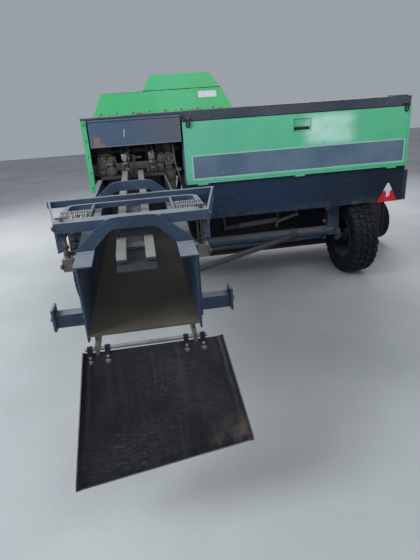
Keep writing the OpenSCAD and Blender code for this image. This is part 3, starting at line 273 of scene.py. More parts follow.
def weathered(name, look, pattern=None):
    # paint or metal with faded patches, dust on what faces up, grime, chips, scratches and dents
    look = {**plainLook, **look}
    kit = Finish(name)
    patches = kit.noise(look["patchScale"], 4, 0.6).spread(0.36, 0.66)
    fine = kit.noise(look["grain"], 5, 0.65)
    colour = kit.mix(patches, look["colour"], look["shade"])
    if pattern:
        colour = pattern(kit, colour, fine)
    # streaks run down the sheets
    streaks = kit.noise(1, 4, 0.6, kit.stretch((38, 38, 2.2))).spread(0.55, 0.8)
    colour = kit.mix(streaks * look["streaks"], colour, look["streakColour"])
    # dust lies on upper faces and in a thin film everywhere
    up = kit.axis(kit.facing, "Z").clamp()
    settled = up ** look["dustPower"] * fine.spread(look["dustEdge"], 0.55) * look["dust"]
    film = patches * fine.spread(0.4, 0.75) * look["film"]
    dusty = settled.most(film).clamp()
    colour = kit.mix(dusty, colour, look["dustColour"])
    # chips down to rust, scratches down to bright metal
    chips = kit.noise(look["chipScale"], 6, 0.72).over(1 - look["chips"])
    colour = kit.mix(chips * 0.9, colour, look["chipColour"])
    scratchField = kit.noise(1, 3, 0.6, kit.stretch((9, 70, 150)), 1.2)
    scratches = (scratchField - 0.5).size().under(look["scratchWidth"]) * patches
    colour = kit.mix(scratches * 0.5, colour, paleDust)
    rough = look["rough"] + dusty * 0.35 + (fine - 0.5) * 0.16 + chips * 0.2
    height = fine * 0.35 - chips * 0.5 + dusty * 0.3
    dents = kit.bump(kit.noise(look["dentScale"], 2, 0.45), look["dents"], 0.02)
    kit.set(colour=colour, rough=rough.clamp(), metal=look["metal"], sheen=look["sheen"],
            normal=kit.bump(height, look["relief"], under=dents))
    return kit.material


greenLook = {
    "colour": (0.055, 0.40, 0.155), "shade": (0.075, 0.45, 0.20), "rough": 0.40,
    "sheen": 0.45, "dust": 0.30, "dustColour": (0.26, 0.40, 0.27), "film": 0.10, "streaks": 0.06,
    "streakColour": (0.20, 0.36, 0.20), "chips": 0.25, "relief": 0.10, "dents": 0.35
}

# Colours that the patterns and the other finishes lay over or beside the paint
tones = {
    "slateScuff": (0.26, 0.33, 0.36), "lidSpecks": (0.62, 0.60, 0.34), "hoodRight": (0.045, 0.43, 0.10),
    "hoodRust": (0.17, 0.085, 0.05), "hoodSeam": (0.05, 0.10, 0.06), "oil": (0.010, 0.010, 0.011),
    "oilyBrown": (0.045, 0.038, 0.028), "endNavy": (0.010, 0.022, 0.040),
    "railPlate": (0.040, 0.050, 0.068), "dustyLedge": (0.46, 0.46, 0.45),
    "skirtRight": (0.006, 0.017, 0.030), "skirtLeft": (0.15, 0.23, 0.33), "skirtFoot": (0.12, 0.10, 0.08),
    "flapRight": (0.105, 0.125, 0.145), "flapWorn": (0.21, 0.155, 0.11), "flapScratch": (0.70, 0.72, 0.74),
    "flapEdge": (0.32, 0.33, 0.34), "chutePolish": (0.055, 0.055, 0.06), "chuteWorn": (0.17, 0.125, 0.10),
    "chuteSpots": (0.26, 0.24, 0.22), "tyreBlack": (0.0035, 0.0055, 0.0095),
    "tyreWorn": (0.115, 0.13, 0.15), "rubberBlack": (0.010, 0.010, 0.012),
    "rubberWorn": (0.035, 0.034, 0.032), "plasticBlack": (0.014, 0.014, 0.016),
    "plasticScuff": (0.06, 0.06, 0.06), "prismRed": (0.72, 0.008, 0.03), "prismDark": (0.50, 0.006, 0.02),
    "prismChalk": (0.60, 0.62, 0.66), "plateWhite": (0.56, 0.55, 0.62), "plateLight": (0.66, 0.66, 0.70),
    "plateGrime": (0.30, 0.32, 0.30), "floorGrey": (0.40, 0.415, 0.42), "floorLight": (0.47, 0.485, 0.49),
    "floorSpeck": (0.33, 0.335, 0.335),
}

lidMarks = {
    "band": (465, 2203, 994, 1160), "outline": 9, "bandColour": (0.078, 0.135, 0.205),
    "bandShade": (0.125, 0.185, 0.255), "outlineColour": (0.42, 0.60, 0.56),
    "glare": (1372, 1752, 1180, 1396), "glareColour": (0.55, 0.82, 0.72),
    "cool": (0.15, 0.49, 0.35), "endColour": (0.17, 0.29, 0.38),
}


def lidPattern(kit, colour, fine):
    # a bare slate band with a thin pale outline, a painted glare highlight beside the handle, a cooler left
    # side
    across, height = kit.across(), kit.height()
    wobble = (kit.noise(9, 4, 0.7) - 0.5) * 10
    x0, x1, z0, z1 = lidMarks["band"]
    edge = lidMarks["outline"]
    rear = (0 - kit.axis(kit.facing, "Y")).over(0.5)
    colour = kit.mix((1 - across.spread(500, 1500)) * 0.6, colour, lidMarks["cool"])
    # painted highlight: the pale glare patch beside the handle, broken up by noise; the mask named worn below
    # is this painted glare
    g0, g1, g2, g3 = lidMarks["glare"]
    patch = kit.noise(5, 5, 0.6).spread(0.2, 0.6)
    worn = across.within(g0, g1, 70) * height.within(g2, g3, 45) * patch
    colour = kit.mix(worn * 0.95, colour, lidMarks["glareColour"])
    outer = ((across + wobble).within(x0 - edge, x1 + edge, 1.5)
             * (height + wobble).within(z0 - edge, z1 + edge, 1.5))
    inner = (across + wobble * 0.4).within(x0, x1, 1.5) * (height + wobble * 0.4).within(z0, z1, 1.5)
    torn = kit.noise(17, 6, 0.75).over(0.655)
    scuffs = kit.noise(1, 5, 0.7, kit.stretch((5, 5, 60))).spread(0.56, 0.72)
    slate = kit.mix(kit.noise(3.2, 3).spread(0.35, 0.7), lidMarks["bandColour"], lidMarks["bandShade"])
    slate = kit.mix(scuffs * 0.45, slate, tones["slateScuff"])
    colour = kit.mix(outer * rear * (1 - torn) * 0.75, colour, lidMarks["outlineColour"])
    colour = kit.mix(inner * rear * (1 - torn * 0.8), colour, slate)
    colour = kit.mix((kit.axis(kit.facing, "X").size()).over(0.5) * 0.85, colour, lidMarks["endColour"])
    # pale specks stuck along the lower edge
    specks = kit.noise(120, 3, 0.7).over(0.70) * (1 - height.spread(952, 1010))
    return kit.mix(specks * 0.8, colour, tones["lidSpecks"])


def hoodPattern(kit, colour, fine):
    # rusty specks and a dark line along the foot, a deeper green to the right
    height = kit.height()
    colour = kit.mix(kit.across().spread(250, 800) * 0.45, colour, tones["hoodRight"])
    foot = 1 - height.spread(1492, 1516)
    rusty = foot * kit.noise(24, 5, 0.7).spread(0.47, 0.60)
    colour = kit.mix(rusty * 0.9, colour, tones["hoodRust"])
    seam = height.within(1638, 1646, 2) * kit.noise(18, 4).spread(0.35, 0.55)
    return kit.mix(seam * 0.8, colour, tones["hoodSeam"])


def shieldPattern(kit, colour, fine):
    # the knotter bay's inside is black with oil and brown with dust
    depth = kit.along()
    inside = kit.across().over(-329.4) * depth.over(12) * (1 - kit.axis(kit.facing, "Y").over(0.5))
    grime = kit.mix(kit.noise(14, 5, 0.7).spread(0.4, 0.7), tones["oil"], tones["oilyBrown"])
    return kit.mix(inside, colour, grime)


def endPattern(kit, colour, fine):
    # green above, the skirt's navy below the lid
    navy = kit.height().under(949) * kit.along().under(434)
    return kit.mix(navy, colour, tones["endNavy"])


def railPattern(kit, colour, fine):
    # the dark plate between the rails, and the painted saddles across them
    along = kit.along()
    plate = kit.across().size().under(37.6)
    saddle = along.within(-1632, -1598, 0.3).most(along.within(-1142, -1118, 0.3))
    return kit.mix(plate.most(saddle), colour, tones["railPlate"])


def coverPattern(kit, colour, fine):
    # a pale dusty ledge over the flap
    ledge = kit.height().over(1484) * (1 - kit.across().spread(-120, 160)) * fine.spread(0.3, 0.6)
    return kit.mix(ledge * 0.7, colour, tones["dustyLedge"])


def skirtPattern(kit, colour, fine):
    # goes darker and greener towards the right wheel, with a dusty foot
    colour = kit.mix(kit.across().spread(900, 2100), colour, tones["skirtRight"])
    # the left end is paler beside the lid
    pale = kit.axis(kit.facing, "X").under(-0.5) * kit.height().over(945) * (1 - kit.along().spread(70, 200))
    colour = kit.mix(pale, colour, tones["skirtLeft"])
    dirt = (1 - kit.height().spread(660, 730)) * kit.noise(12, 4, 0.65).spread(0.4, 0.7)
    return kit.mix(dirt * 0.35, colour, tones["skirtFoot"])


def flapPattern(kit, colour, fine):
    # paint worn to brown in the lower left corner, one white scratch, a pale lower edge
    across, height = kit.across(), kit.height()
    wobble = (kit.noise(22, 4, 0.7) - 0.5) * 26
    colour = kit.mix(across.spread(-60, 360) * 0.8, colour, tones["flapRight"])
    upright = (across + wobble).within(-252, -206, 5) * (height + wobble).within(1286, 1352, 5)
    foot = (across + wobble).within(-240, -176, 5) * (height + wobble).within(1284, 1306, 5)
    colour = kit.mix(upright.most(foot) * 0.75, colour, tones["flapWorn"])
    line = ((across + 28 - (height - 1376) * 0.12 + wobble * 0.3).size()).under(2.2)
    scratch = line * height.within(1338, 1408, 6) * fine.over(0.45)
    colour = kit.mix(scratch, colour, tones["flapScratch"])
    return kit.mix((1 - height.spread(1279, 1287)) * 0.6, colour, tones["flapEdge"])


def chutePattern(kit, colour, fine):
    # sheet polished along its middle, worn to brown at its right foot
    across, height = kit.across(), kit.height()
    lines = kit.noise(1, 4, 0.6, kit.stretch((46, 2.4, 2.4))).spread(0.5, 0.75)
    polish = across.within(-190, 230, 90) * lines
    colour = kit.mix(polish * 0.3, colour, tones["chutePolish"])
    worn = across.spread(150, 330) * (1 - height.spread(270, 420)) * kit.noise(11, 5, 0.65).spread(0.42, 0.62)
    colour = kit.mix(worn * 0.7, colour, tones["chuteWorn"])
    spots = kit.noise(21, 3, 0.6).over(0.755)
    return kit.mix(spots * 0.3, colour, tones["chuteSpots"])


def tyreRubber():
    kit = Finish("tyreRubber")
    fine = kit.noise(90, 5, 0.7)
    broad = kit.noise(6, 3)
    level = kit.axis(kit.facing, "Z").size()
    side = kit.axis(kit.facing, "X").size()
    worn = (1 - side.spread(0.35, 0.8)) * fine.spread(0.45, 0.7) * (0.22 + level * 0.2)
    film = fine.spread(0.5, 0.75) * broad.spread(0.35, 0.65) * 0.06
    grey = worn.most(film).clamp()
    colour = kit.mix(grey, tones["tyreBlack"], tones["tyreWorn"])
    kit.set(colour=colour, rough=(0.55 + grey * 0.3).clamp(), sheen=0.2, normal=kit.bump(fine, 0.3))
    return kit.material


def plainRubber():
    kit = Finish("plainRubber")
    fine = kit.noise(120, 4)
    colour = kit.mix(fine.spread(0.4, 0.7), tones["rubberBlack"], tones["rubberWorn"])
    kit.set(colour=colour, rough=0.55 + fine * 0.25, sheen=0.3, normal=kit.bump(fine, 0.15))
    return kit.material


def guardPlastic():
    kit = Finish("guardPlastic")
    fine = kit.noise(60, 4)
    up = kit.axis(kit.facing, "Z").clamp()
    scuffs = kit.noise(1, 4, 0.6, kit.stretch((60, 6, 60))).spread(0.55, 0.7)
    dusty = (up * (0.6 + fine * 0.5) * 0.45).clamp()
    colour = kit.mix(scuffs * 0.3, tones["plasticBlack"], tones["plasticScuff"])
    colour = kit.mix(dusty, colour, dust)
    kit.set(colour=colour, rough=0.42 + dusty * 0.4, normal=kit.bump(fine, 0.12))
    return kit.material


def reflectorRed():
    # red prism plastic, its tip and middle faded to a chalky white
    kit = Finish("reflectorRed")
    low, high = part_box("reflector")
    height = (kit.axis(kit.place, "Z") - low.z) / (high.z - low.z)
    middle = 1 - ((kit.axis(kit.place, "X") - (low.x + high.x) / 2) / (high.x - low.x) * 5).size()
    torn = kit.noise(45, 4, 0.7)
    chalk = (height.spread(0.50, 0.72) + middle.spread(0.1, 0.9) * height.spread(0.10, 0.4) * 0.9) * 1.2
    chalk = (chalk + (torn - 0.5) * 1.1).spread(0.55, 0.75)
    prisms = kit.cells(260)
    red = kit.mix(prisms.spread(0.1, 0.6), tones["prismRed"], tones["prismDark"])
    colour = kit.mix(chalk, red, tones["prismChalk"])
    kit.set(colour=colour, rough=0.22 + chalk * 0.4, normal=kit.bump(prisms, 0.3, 0.001))
    return kit.material


def stickerWhite():
    # bare plate on the hood, with a grubby edge
    kit = Finish("stickerWhite")
    fine = kit.noise(70, 5, 0.7)
    colour = kit.mix(kit.noise(30, 3).spread(0.35, 0.7), tones["plateWhite"], tones["plateLight"])
    colour = kit.mix(fine.over(0.66) * 0.6, colour, tones["plateGrime"])
    kit.set(colour=colour, rough=0.35 + fine * 0.2, normal=kit.bump(fine, 0.1))
    return kit.material


def floorFinish():
    kit = Finish("floorFinish")
    broad = kit.noise(0.9, 4).spread(0.3, 0.7)
    fine = kit.noise(30, 5, 0.7)
    colour = kit.mix(broad, tones["floorGrey"], tones["floorLight"])
    colour = kit.mix(fine.spread(0.45, 0.8) * 0.25, colour, tones["floorSpeck"])
    kit.set(colour=colour, rough=0.8, normal=kit.bump(fine, 0.06))
    return kit.material


# Each weathered finish: name, look and, where it has one, its pattern
paintBook = {
    "green": ("greenPaint", {
        **greenLook, "colour": (0.048, 0.33, 0.135), "shade": (0.070, 0.38, 0.18), "dust": 0.7,
        "dustColour": (0.27, 0.33, 0.23), "film": 0.25, "streaks": 0.30, "streakColour": (0.10, 0.22, 0.11),
        "chips": 0.30, "relief": 0.2}),
    "lid": ("lidPaint", {
        **greenLook, "colour": (0.092, 0.49, 0.255), "shade": (0.115, 0.53, 0.295), "chips": 0.23,
        "dents": 0.5}, lidPattern),
    "hood": ("hoodPaint", {**greenLook, "dust": 0.18}, hoodPattern),
    "navy": ("navyPaint", {
        "colour": (0.012, 0.030, 0.068), "shade": (0.009, 0.024, 0.056), "rough": 0.42, "sheen": 0.22,
        "dust": 0.5, "film": 0.05, "streaks": 0.06, "chips": 0.24, "relief": 0.12}, skirtPattern),
    "slate": ("slatePaint", {
        "colour": (0.029, 0.052, 0.098), "shade": (0.043, 0.069, 0.112), "rough": 0.46, "sheen": 0.28,
        "dust": 0.68, "dustColour": (0.27, 0.29, 0.31), "dustPower": 6.0, "dustEdge": 0.0, "film": 0.12,
        "streaks": 0.12, "streakColour": (0.20, 0.17, 0.13), "chips": 0.255,
        "chipColour": (0.11, 0.085, 0.07), "grain": 32, "relief": 0.22}),
    "plate": ("platePaint", {
        "colour": (0.014, 0.018, 0.026), "shade": (0.024, 0.027, 0.033), "rough": 0.6, "sheen": 0.2,
        "dust": 0.1, "dustColour": (0.14, 0.12, 0.10), "film": 0.15, "chips": 0.34, "relief": 0.25}),
    "roof": ("roofPaint", {
        "colour": (0.030, 0.038, 0.052), "shade": (0.050, 0.045, 0.042), "rough": 0.6, "sheen": 0.25,
        "dustColour": (0.085, 0.070, 0.052), "film": 0.3}),
    "brace": ("braceTube", {
        "colour": (0.045, 0.050, 0.062), "shade": (0.032, 0.035, 0.044), "rough": 0.65, "sheen": 0.25,
        "dust": 0.7, "dustColour": (0.125, 0.12, 0.122), "dustPower": 1.0, "film": 0.4, "relief": 0.4}),
    "arm": ("dustyArm", {
        "colour": (0.15, 0.14, 0.135), "shade": (0.10, 0.095, 0.092), "rough": 0.7, "sheen": 0.25,
        "dust": 0.9, "dustColour": (0.36, 0.33, 0.31), "dustPower": 1.0, "film": 0.5, "relief": 0.4}),
    "shield": ("shieldPaint", {
        **greenLook, "film": 0.2, "streaks": 0.22, "streakColour": (0.12, 0.28, 0.14),
        "chips": 0.29}, shieldPattern),
    "end": ("endPaint", {
        **greenLook, "colour": (0.050, 0.35, 0.14), "film": 0.2, "streaks": 0.28,
        "streakColour": (0.11, 0.25, 0.12), "chips": 0.29}, endPattern),
    "floorSteel": ("floorSteel", {
        "colour": (0.13, 0.12, 0.105), "shade": (0.075, 0.065, 0.055), "rough": 0.45, "metal": 0.5,
        "sheen": 0.4, "dust": 0.5, "dustColour": (0.19, 0.165, 0.125), "streaks": 0.3,
        "streakColour": (0.13, 0.08, 0.05), "chips": 0.36}),
    "tube": ("tubePaint", {
        "colour": (0.028, 0.058, 0.100), "shade": (0.045, 0.078, 0.115), "rough": 0.5, "dust": 1.0,
        "dustColour": (0.17, 0.15, 0.13), "dustPower": 0.8, "film": 0.3, "relief": 0.35}),
    "hub": ("hubPaint", {
        "colour": (0.006, 0.013, 0.022), "shade": (0.012, 0.022, 0.034), "rough": 0.45, "sheen": 0.25,
        "dust": 0.7, "dustColour": (0.12, 0.105, 0.085), "film": 0.25, "streaks": 0.2, "chips": 0.30}),
    "cover": ("coverPaint", {
        "colour": (0.040, 0.048, 0.078), "shade": (0.055, 0.062, 0.092), "rough": 0.55, "dust": 0.8,
        "dustColour": (0.33, 0.31, 0.28), "film": 0.16, "chips": 0.30, "relief": 0.25}, coverPattern),
    "flap": ("flapPaint", {
        "colour": (0.062, 0.100, 0.165), "shade": (0.078, 0.112, 0.165), "rough": 0.5, "film": 0.14,
        "streaks": 0.08, "chips": 0.26, "relief": 0.2, "dents": 0.45}, flapPattern),
    "steel": ("wornSteel", {
        "colour": (0.30, 0.29, 0.27), "shade": (0.17, 0.155, 0.14), "rough": 0.42, "metal": 0.7,
        "sheen": 0.4, "dustColour": paleDust, "streaks": 0.3, "streakColour": (0.17, 0.10, 0.06),
        "chips": 0.36}),
    "rail": ("railSteel", {
        "colour": (0.27, 0.275, 0.28), "shade": (0.20, 0.20, 0.20), "rough": 0.5, "metal": 0.3,
        "sheen": 0.4, "dust": 0.35, "dustColour": (0.36, 0.355, 0.34), "film": 0.3, "streaks": 0.3,
        "streakColour": (0.20, 0.14, 0.09), "chips": 0.30, "relief": 0.25}, railPattern),
    "pale": ("paleSteel", {
        "colour": (0.40, 0.41, 0.44), "shade": (0.28, 0.29, 0.31), "rough": 0.45, "metal": 0.4,
        "sheen": 0.4, "dust": 0.4, "film": 0.3, "streaks": 0.15}),
    "cast": ("oilyCast", {
        "colour": (0.070, 0.062, 0.056), "shade": (0.130, 0.115, 0.100), "rough": 0.55, "metal": 0.3,
        "sheen": 0.4, "dust": 0.8, "dustColour": (0.26, 0.23, 0.19), "dustPower": 1.6, "film": 0.5,
        "streaks": 0.25, "chips": 0.34, "chipColour": (0.015, 0.012, 0.010), "grain": 110, "relief": 0.7}),
    "rusty": ("rustySheet", {
        "colour": (0.115, 0.060, 0.036), "shade": (0.060, 0.038, 0.028), "rough": 0.72, "metal": 0.2,
        "sheen": 0.25, "dust": 0.5, "film": 0.25, "streaks": 0.35, "streakColour": (0.22, 0.10, 0.045),
        "chips": 0.42, "relief": 0.45}),
    "tine": ("tineSteel", {
        "colour": (0.15, 0.13, 0.11), "shade": (0.075, 0.060, 0.050), "rough": 0.4, "metal": 0.7,
        "sheen": 0.4, "dust": 0.3, "streaks": 0.15, "chips": 0.38}),
    "chute": ("chuteBlack", {
        "colour": (0.0055, 0.0065, 0.011), "shade": (0.010, 0.011, 0.017), "rough": 0.38, "sheen": 0.2,
        "dust": 0.05, "film": 0.05, "streaks": 0.06, "streakColour": (0.10, 0.08, 0.06), "chips": 0.24,
        "relief": 0.22, "dents": 0.6, "dentScale": 5}, chutePattern),
    "edge": ("bareEdge", {
        "colour": (0.20, 0.19, 0.18), "shade": (0.10, 0.09, 0.085), "rough": 0.4, "metal": 0.6,
        "sheen": 0.4, "dust": 0.3, "streaks": 0.15, "chips": 0.38}),
    "bolt": ("boltZinc", {
        "colour": (0.22, 0.21, 0.19), "shade": (0.12, 0.10, 0.085), "rough": 0.4, "metal": 0.8,
        "sheen": 0.4, "dust": 0.4, "streaks": 0.15, "chips": 0.40, "chipScale": 60}),
}

finishes = {key: weathered(*entry) for key, entry in paintBook.items()}
finishes.update({"tyre": tyreRubber(), "rubber": plainRubber(), "plastic": guardPlastic(),
                 "reflector": reflectorRed(), "sticker": stickerWhite()})

nodeFinish = {
    "green": ["feeder_hood", "drive_case"],
    "shield": ["left_shield"],
    "end": ["end_panel"],
    "lid": ["twine_lid"],
    "hood": ["hood"],
    "navy": ["twine_box"],
    "cover": ["top_cover"],
    "flap": ["knotter_flap"],
    "roof": ["channel_roof"],
    "slate": ["channel_left", "channel_right", "arch_front", "arch_rear", "tension_frame", "lower_beam",
              "front_frame", "drawbar", "gearbox", "flywheel_guard", "wind_guard", "feeder_table"],
    "steel": ["plunger", "tension_screws", "pickup_reel", "jack_leg", "needle_yoke"],
    "floorSteel": ["channel_floor"],
    "rail": ["top_rails"],
    "cast": ["knotter_shaft", "knotter_left", "knotter_right", "flywheel", "feeder_forks"],
    "rusty": ["pickup_frame", "pickup_strippers"],
    "chute": ["chute"],
    "tube": ["axle"],
    "hub": ["rim_right", "rim_left"],
    "tyre": ["tyre_right", "tyre_left", "gauge_wheel"],
    "rubber": ["lid_latches"],
    "plastic": ["pto_shaft"],
    "reflector": ["reflector"],
}

for finish, names in nodeFinish.items():
    for name in names:
        piece = nodes[name]
        piece.data.materials.clear()
        piece.data.materials.append(finishes[finish])
print("finishes laid on", sum(len(names) for names in nodeFinish.values()), "pieces")


# Mesh kit

def local(x, y, z):
    return Vector((x, y, z)) / 1000


def tilted(x, y, z, angle):
    # turns a place given in millimetres round the X axis
    turn = math.radians(angle)
    return (x, y * math.cos(turn) - z * math.sin(turn), y * math.sin(turn) + z * math.cos(turn))


def arc(centre, radius, start, end, steps):
    # points of an arc in a plane, angles in degrees
    turns = [math.radians(start + (end - start) * i / steps) for i in range(steps + 1)]
    return [(centre[0] + radius * math.cos(turn), centre[1] + radius * math.sin(turn)) for turn in turns]


def onAxis(axis, deep, a, b):
    # deep along the named axis, a and b along the two others, in the order x, y, z
    return {"x": (deep, a, b), "y": (a, deep, b), "z": (a, b, deep)}[axis]


def ringPlaces(centre, radius, count, start=0.0):
    # places round an axis along X; start in turns of one pitch
    x, y, z = centre
    turns = [2 * math.pi * (i + start) / count for i in range(count)]
    return [(x, y + radius * math.cos(turn), z + radius * math.sin(turn)) for turn in turns]


def shifted(places, x):
    # the same places moved along X
    return [(x + place[0], *place[1:]) for place in places]


class Shape:
    # a mesh in the making, in millimetres; place turns its points into the frame's metres
    def __init__(self, finish, place=at):
        self.mesh = bmesh.new()
        self.place = place
        self.used = []
        self.use(finish)

    def use(self, finish):
        if finish not in self.used:
            self.used.append(finish)
        self.number = self.used.index(finish)

    def face(self, verts):
        made = self.mesh.faces.new(verts)
        made.material_index = self.number

    def rings(self, rows, loop=False):
        # skins rows of equally many points; loop joins the last row to the first, else both get a cap
        made = [[self.mesh.verts.new(self.place(*point)) for point in row] for row in rows]
        count = len(rows[0])
        for here, there in zip(made, made[1:] + (made[:1] if loop else [])):
            for i in range(count):
                j = (i + 1) % count
                self.face((here[i], here[j], there[j], there[i]))
        if not loop:
            self.face(list(reversed(made[0])))
            self.face(made[-1])

    def tube(self, path, radius, sides=10, loop=False):
        points = [Vector(point) for point in path]
        last = len(points) - 1
        radii = radius if isinstance(radius, list) else [radius] * len(points)
        turns = [2 * math.pi * k / sides for k in range(sides)]
        side = None
        rows = []
        for i, point in enumerate(points):
            if loop:
                ahead = points[(i + 1) % len(points)] - points[i - 1]
            else:
                ahead = points[min(i + 1, last)] - points[max(i - 1, 0)]
            ahead.normalize()
            side = ahead.orthogonal() if side is None else side - ahead * side.dot(ahead)
            side.normalize()
            other = ahead.cross(side)
            spokes = [side * math.cos(turn) + other * math.sin(turn) for turn in turns]
            rows.append([point + spoke * radii[i] for spoke in spokes])
        self.rings(rows, loop)

    def lathe(self, profile, centre, axis="x", sides=40, loop=False):
        # profile: pairs of place along the axis and radius
        turns = [2 * math.pi * k / sides for k in range(sides)]
        rows = []
        for along, radius in profile:
            spots = [onAxis(axis, along, radius * math.cos(turn), radius * math.sin(turn)) for turn in turns]
            rows.append([[middle + off for middle, off in zip(centre, spot)] for spot in spots])
        self.rings(rows, loop)

    def plate(self, outline, axis, low, high):
        # outline in the two other axes
        self.rings([[onAxis(axis, deep, a, b) for a, b in outline] for deep in (low, high)])

    def block(self, low, high, edge=1.5):
        # a bar or plate with rounded edges
        made = bmesh.ops.create_cube(self.mesh, size=1)["verts"]
        for vert in made:
            spot = [low[k] + (vert.co[k] + 0.5) * (high[k] - low[k]) for k in range(3)]
            vert.co = self.place(*spot)
            for face in vert.link_faces:
                face.material_index = self.number
        edges = list(dict.fromkeys(side for vert in made for side in vert.link_edges))
        bmesh.ops.bevel(self.mesh, geom=edges, offset=edge / 1000, segments=2, affect="EDGES", profile=0.5)

    def join(self, mesh, finish):
        # takes in a finished mesh
        self.use(finish)
        before = len(self.mesh.faces)
        self.mesh.from_mesh(mesh)
        self.mesh.faces.ensure_lookup_table()
        for face in self.mesh.faces[before:]:
            face.material_index = self.number
        bpy.data.meshes.remove(mesh)

    def onSpots(self, tree, spots, width, finish, sizes=None):
        # grows one of the trees on spots and takes it in; width in millimetres, 1000 for trees in real size
        self.join(trees[tree].grow(spotMesh(spots, width, self.place), finish, sizes), finish)

    def onRing(self, seed, count, centre, finish):
        # repeats a seed mesh round an axis along X and takes it in
        sizes = {"Count": count, "Centre": tuple(self.place(*centre))}
        self.join(trees["ring"].grow(seed, finish, sizes), finish)

    def seed(self, name):
        # the bare mesh, for a tree to work on
        bmesh.ops.recalc_face_normals(self.mesh, faces=self.mesh.faces)
        mesh = bpy.data.meshes.new(name)
        self.mesh.to_mesh(mesh)
        self.mesh.free()
        return mesh

    def piece(self, name, body, slot, replaced=(), sharp=34):
        mesh = self.seed(name)
        for finish in self.used:
            mesh.materials.append(finishes[finish])
        mesh.shade_smooth()
        mesh.set_sharp_from_angle(angle=math.radians(sharp))
        thing = bpy.data.objects.new(name, mesh)
        bpy.context.scene.collection.objects.link(thing)
        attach(thing, body)
        if replaced:
            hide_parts(*replaced)
        print("made", name, len(mesh.polygons), "faces")
        return thing


# Geometry Nodes for what repeats

class Grower(Kit):
    # one tree with named sizes
    def __init__(self, name, sizes):
        self.tree = bpy.data.node_groups.new(name, "GeometryNodeTree")
        kinds = {int: "NodeSocketInt", float: "NodeSocketFloat", tuple: "NodeSocketVector"}
        for way in ("INPUT", "OUTPUT"):
            self.tree.interface.new_socket("Geometry", in_out=way, socket_type="NodeSocketGeometry")
        for key, value in sizes.items():
            made = self.tree.interface.new_socket(key, in_out="INPUT", socket_type=kinds[type(value)])
            made.default_value = value
        self.tree.interface.new_socket("Finish", in_out="INPUT", socket_type="NodeSocketMaterial")
        self.given = self.node("NodeGroupInput")

    def geometry(self, kind, inputs=None):
        return self.node("GeometryNode" + kind, None, inputs)[0]

    def vector(self, x, y, z):
        return self.node("ShaderNodeCombineXYZ", None, {0: x, 1: y, 2: z})[0]

    def moved(self, shape, z):
        return self.geometry("Transform", {"Geometry": shape, "Translation": self.vector(0, 0, z)})

    def stored(self, name, kind):
        # what spotMesh wrote on the vertices
        return self.node("GeometryNodeInputNamedAttribute", {"data_type": kind}, {"Name": name})[0]

    def onSpots(self, shape):
        # one copy on each vertex, its Z along "facing", scaled by "width", turned at random about itself
        facing = self.stored("facing", "FLOAT_VECTOR")
        width = self.stored("width", "FLOAT")
        aimed = self.node("FunctionNodeAlignRotationToVector", {"axis": "Z"}, {"Vector": facing})[0]
        spin = self.node("FunctionNodeRandomValue", {"data_type": "FLOAT"},
                         {2: 0.0, 3: 2 * math.pi, "Seed": self.given["Seed"]})[1]
        twist = self.node("FunctionNodeAxisAngleToRotation", None, {"Axis": (0, 0, 1), "Angle": spin})[0]
        turned = self.node("FunctionNodeRotateRotation", {"rotation_space": "LOCAL"},
                           {"Rotation": aimed, "Rotate By": twist})[0]
        inputs = {"Points": self.given["Geometry"], "Instance": shape, "Rotation": turned, "Scale": width}
        return self.geometry("InstanceOnPoints", inputs)

    def close(self, geometry):
        # the tree's end: real copies with the finish on them
        whole = self.geometry("RealizeInstances", {"Geometry": geometry})
        whole = self.geometry("SetMaterial", {"Geometry": whole, "Material": self.given["Finish"]})
        self.node("NodeGroupOutput", None, {"Geometry": whole})
        return self

    def grow(self, seed, finish, sizes=None):
        # runs the tree on a seed mesh and gives the plain mesh that comes out
        carrier = bpy.data.objects.new(seed.name, seed)
        bpy.context.scene.collection.objects.link(carrier)
        modifier = carrier.modifiers.new("grow", "NODES")
        modifier.node_group = self.tree
        values = {**(sizes or {}), "Finish": finishes[finish]}
        for item in self.tree.interface.items_tree:
            if item.in_out == "INPUT" and item.name in values:
                modifier[item.identifier] = values[item.name]
        graph = bpy.context.evaluated_depsgraph_get()
        mesh = bpy.data.meshes.new_from_object(carrier.evaluated_get(graph))
        carrier.modifiers.remove(modifier)
        bpy.data.objects.remove(carrier)
        return mesh


def hexBoltTree():
    kit = Grower("hexBolts", {"Head height": 0.62, "Washer width": 1.7, "Seed": 4})
    height = kit.given["Head height"]
    corner = 0.577  # a hexagon one wide across its flats
    head = kit.geometry("MeshCylinder", {"Vertices": 6, "Radius": corner, "Depth": height * 0.8})
    crown = kit.geometry("MeshCone", {"Vertices": 6, "Radius Top": 0.47, "Radius Bottom": corner,
                                      "Depth": height * 0.2})
    radius = kit.given["Washer width"] * 0.5
    washer = kit.geometry("MeshCylinder", {"Vertices": 16, "Radius": radius, "Depth": 0.18})
    parts = [kit.moved(head, height * 0.4), kit.moved(crown, height * 0.8), kit.moved(washer, 0.05)]
    return kit.close(kit.onSpots(kit.geometry("JoinGeometry", {"Geometry": parts})))


def rivetTree():
    kit = Grower("domeRivets", {"Dome height": 0.45, "Seed": 2})
    ball = kit.geometry("MeshUVSphere", {"Segments": 12, "Rings": 8, "Radius": 0.5})
    scale = kit.vector(1.0, 1.0, kit.given["Dome height"] * 1.4)
    return kit.close(kit.onSpots(kit.geometry("Transform", {"Geometry": ball, "Scale": scale})))


def coilTree():
    # wire wound round each spot's axis; also the thread of a screw
    kit = Grower("coils", {
        "Turns": 12.0, "Coil radius": 0.024, "Wire": 0.004, "Length": 0.12, "Sides": 6, "Seed": 1})
    given = kit.given
    radius = given["Coil radius"]
    spiral = kit.geometry("CurveSpiral", {
        "Resolution": 18, "Rotations": given["Turns"], "Start Radius": radius, "End Radius": radius,
        "Height": given["Length"]})
    wire = kit.geometry("CurvePrimitiveCircle", {"Resolution": given["Sides"], "Radius": given["Wire"]})
    coil = kit.geometry("CurveToMesh", {"Curve": spiral, "Profile Curve": wire, "Fill Caps": True})
    return kit.close(kit.onSpots(coil))


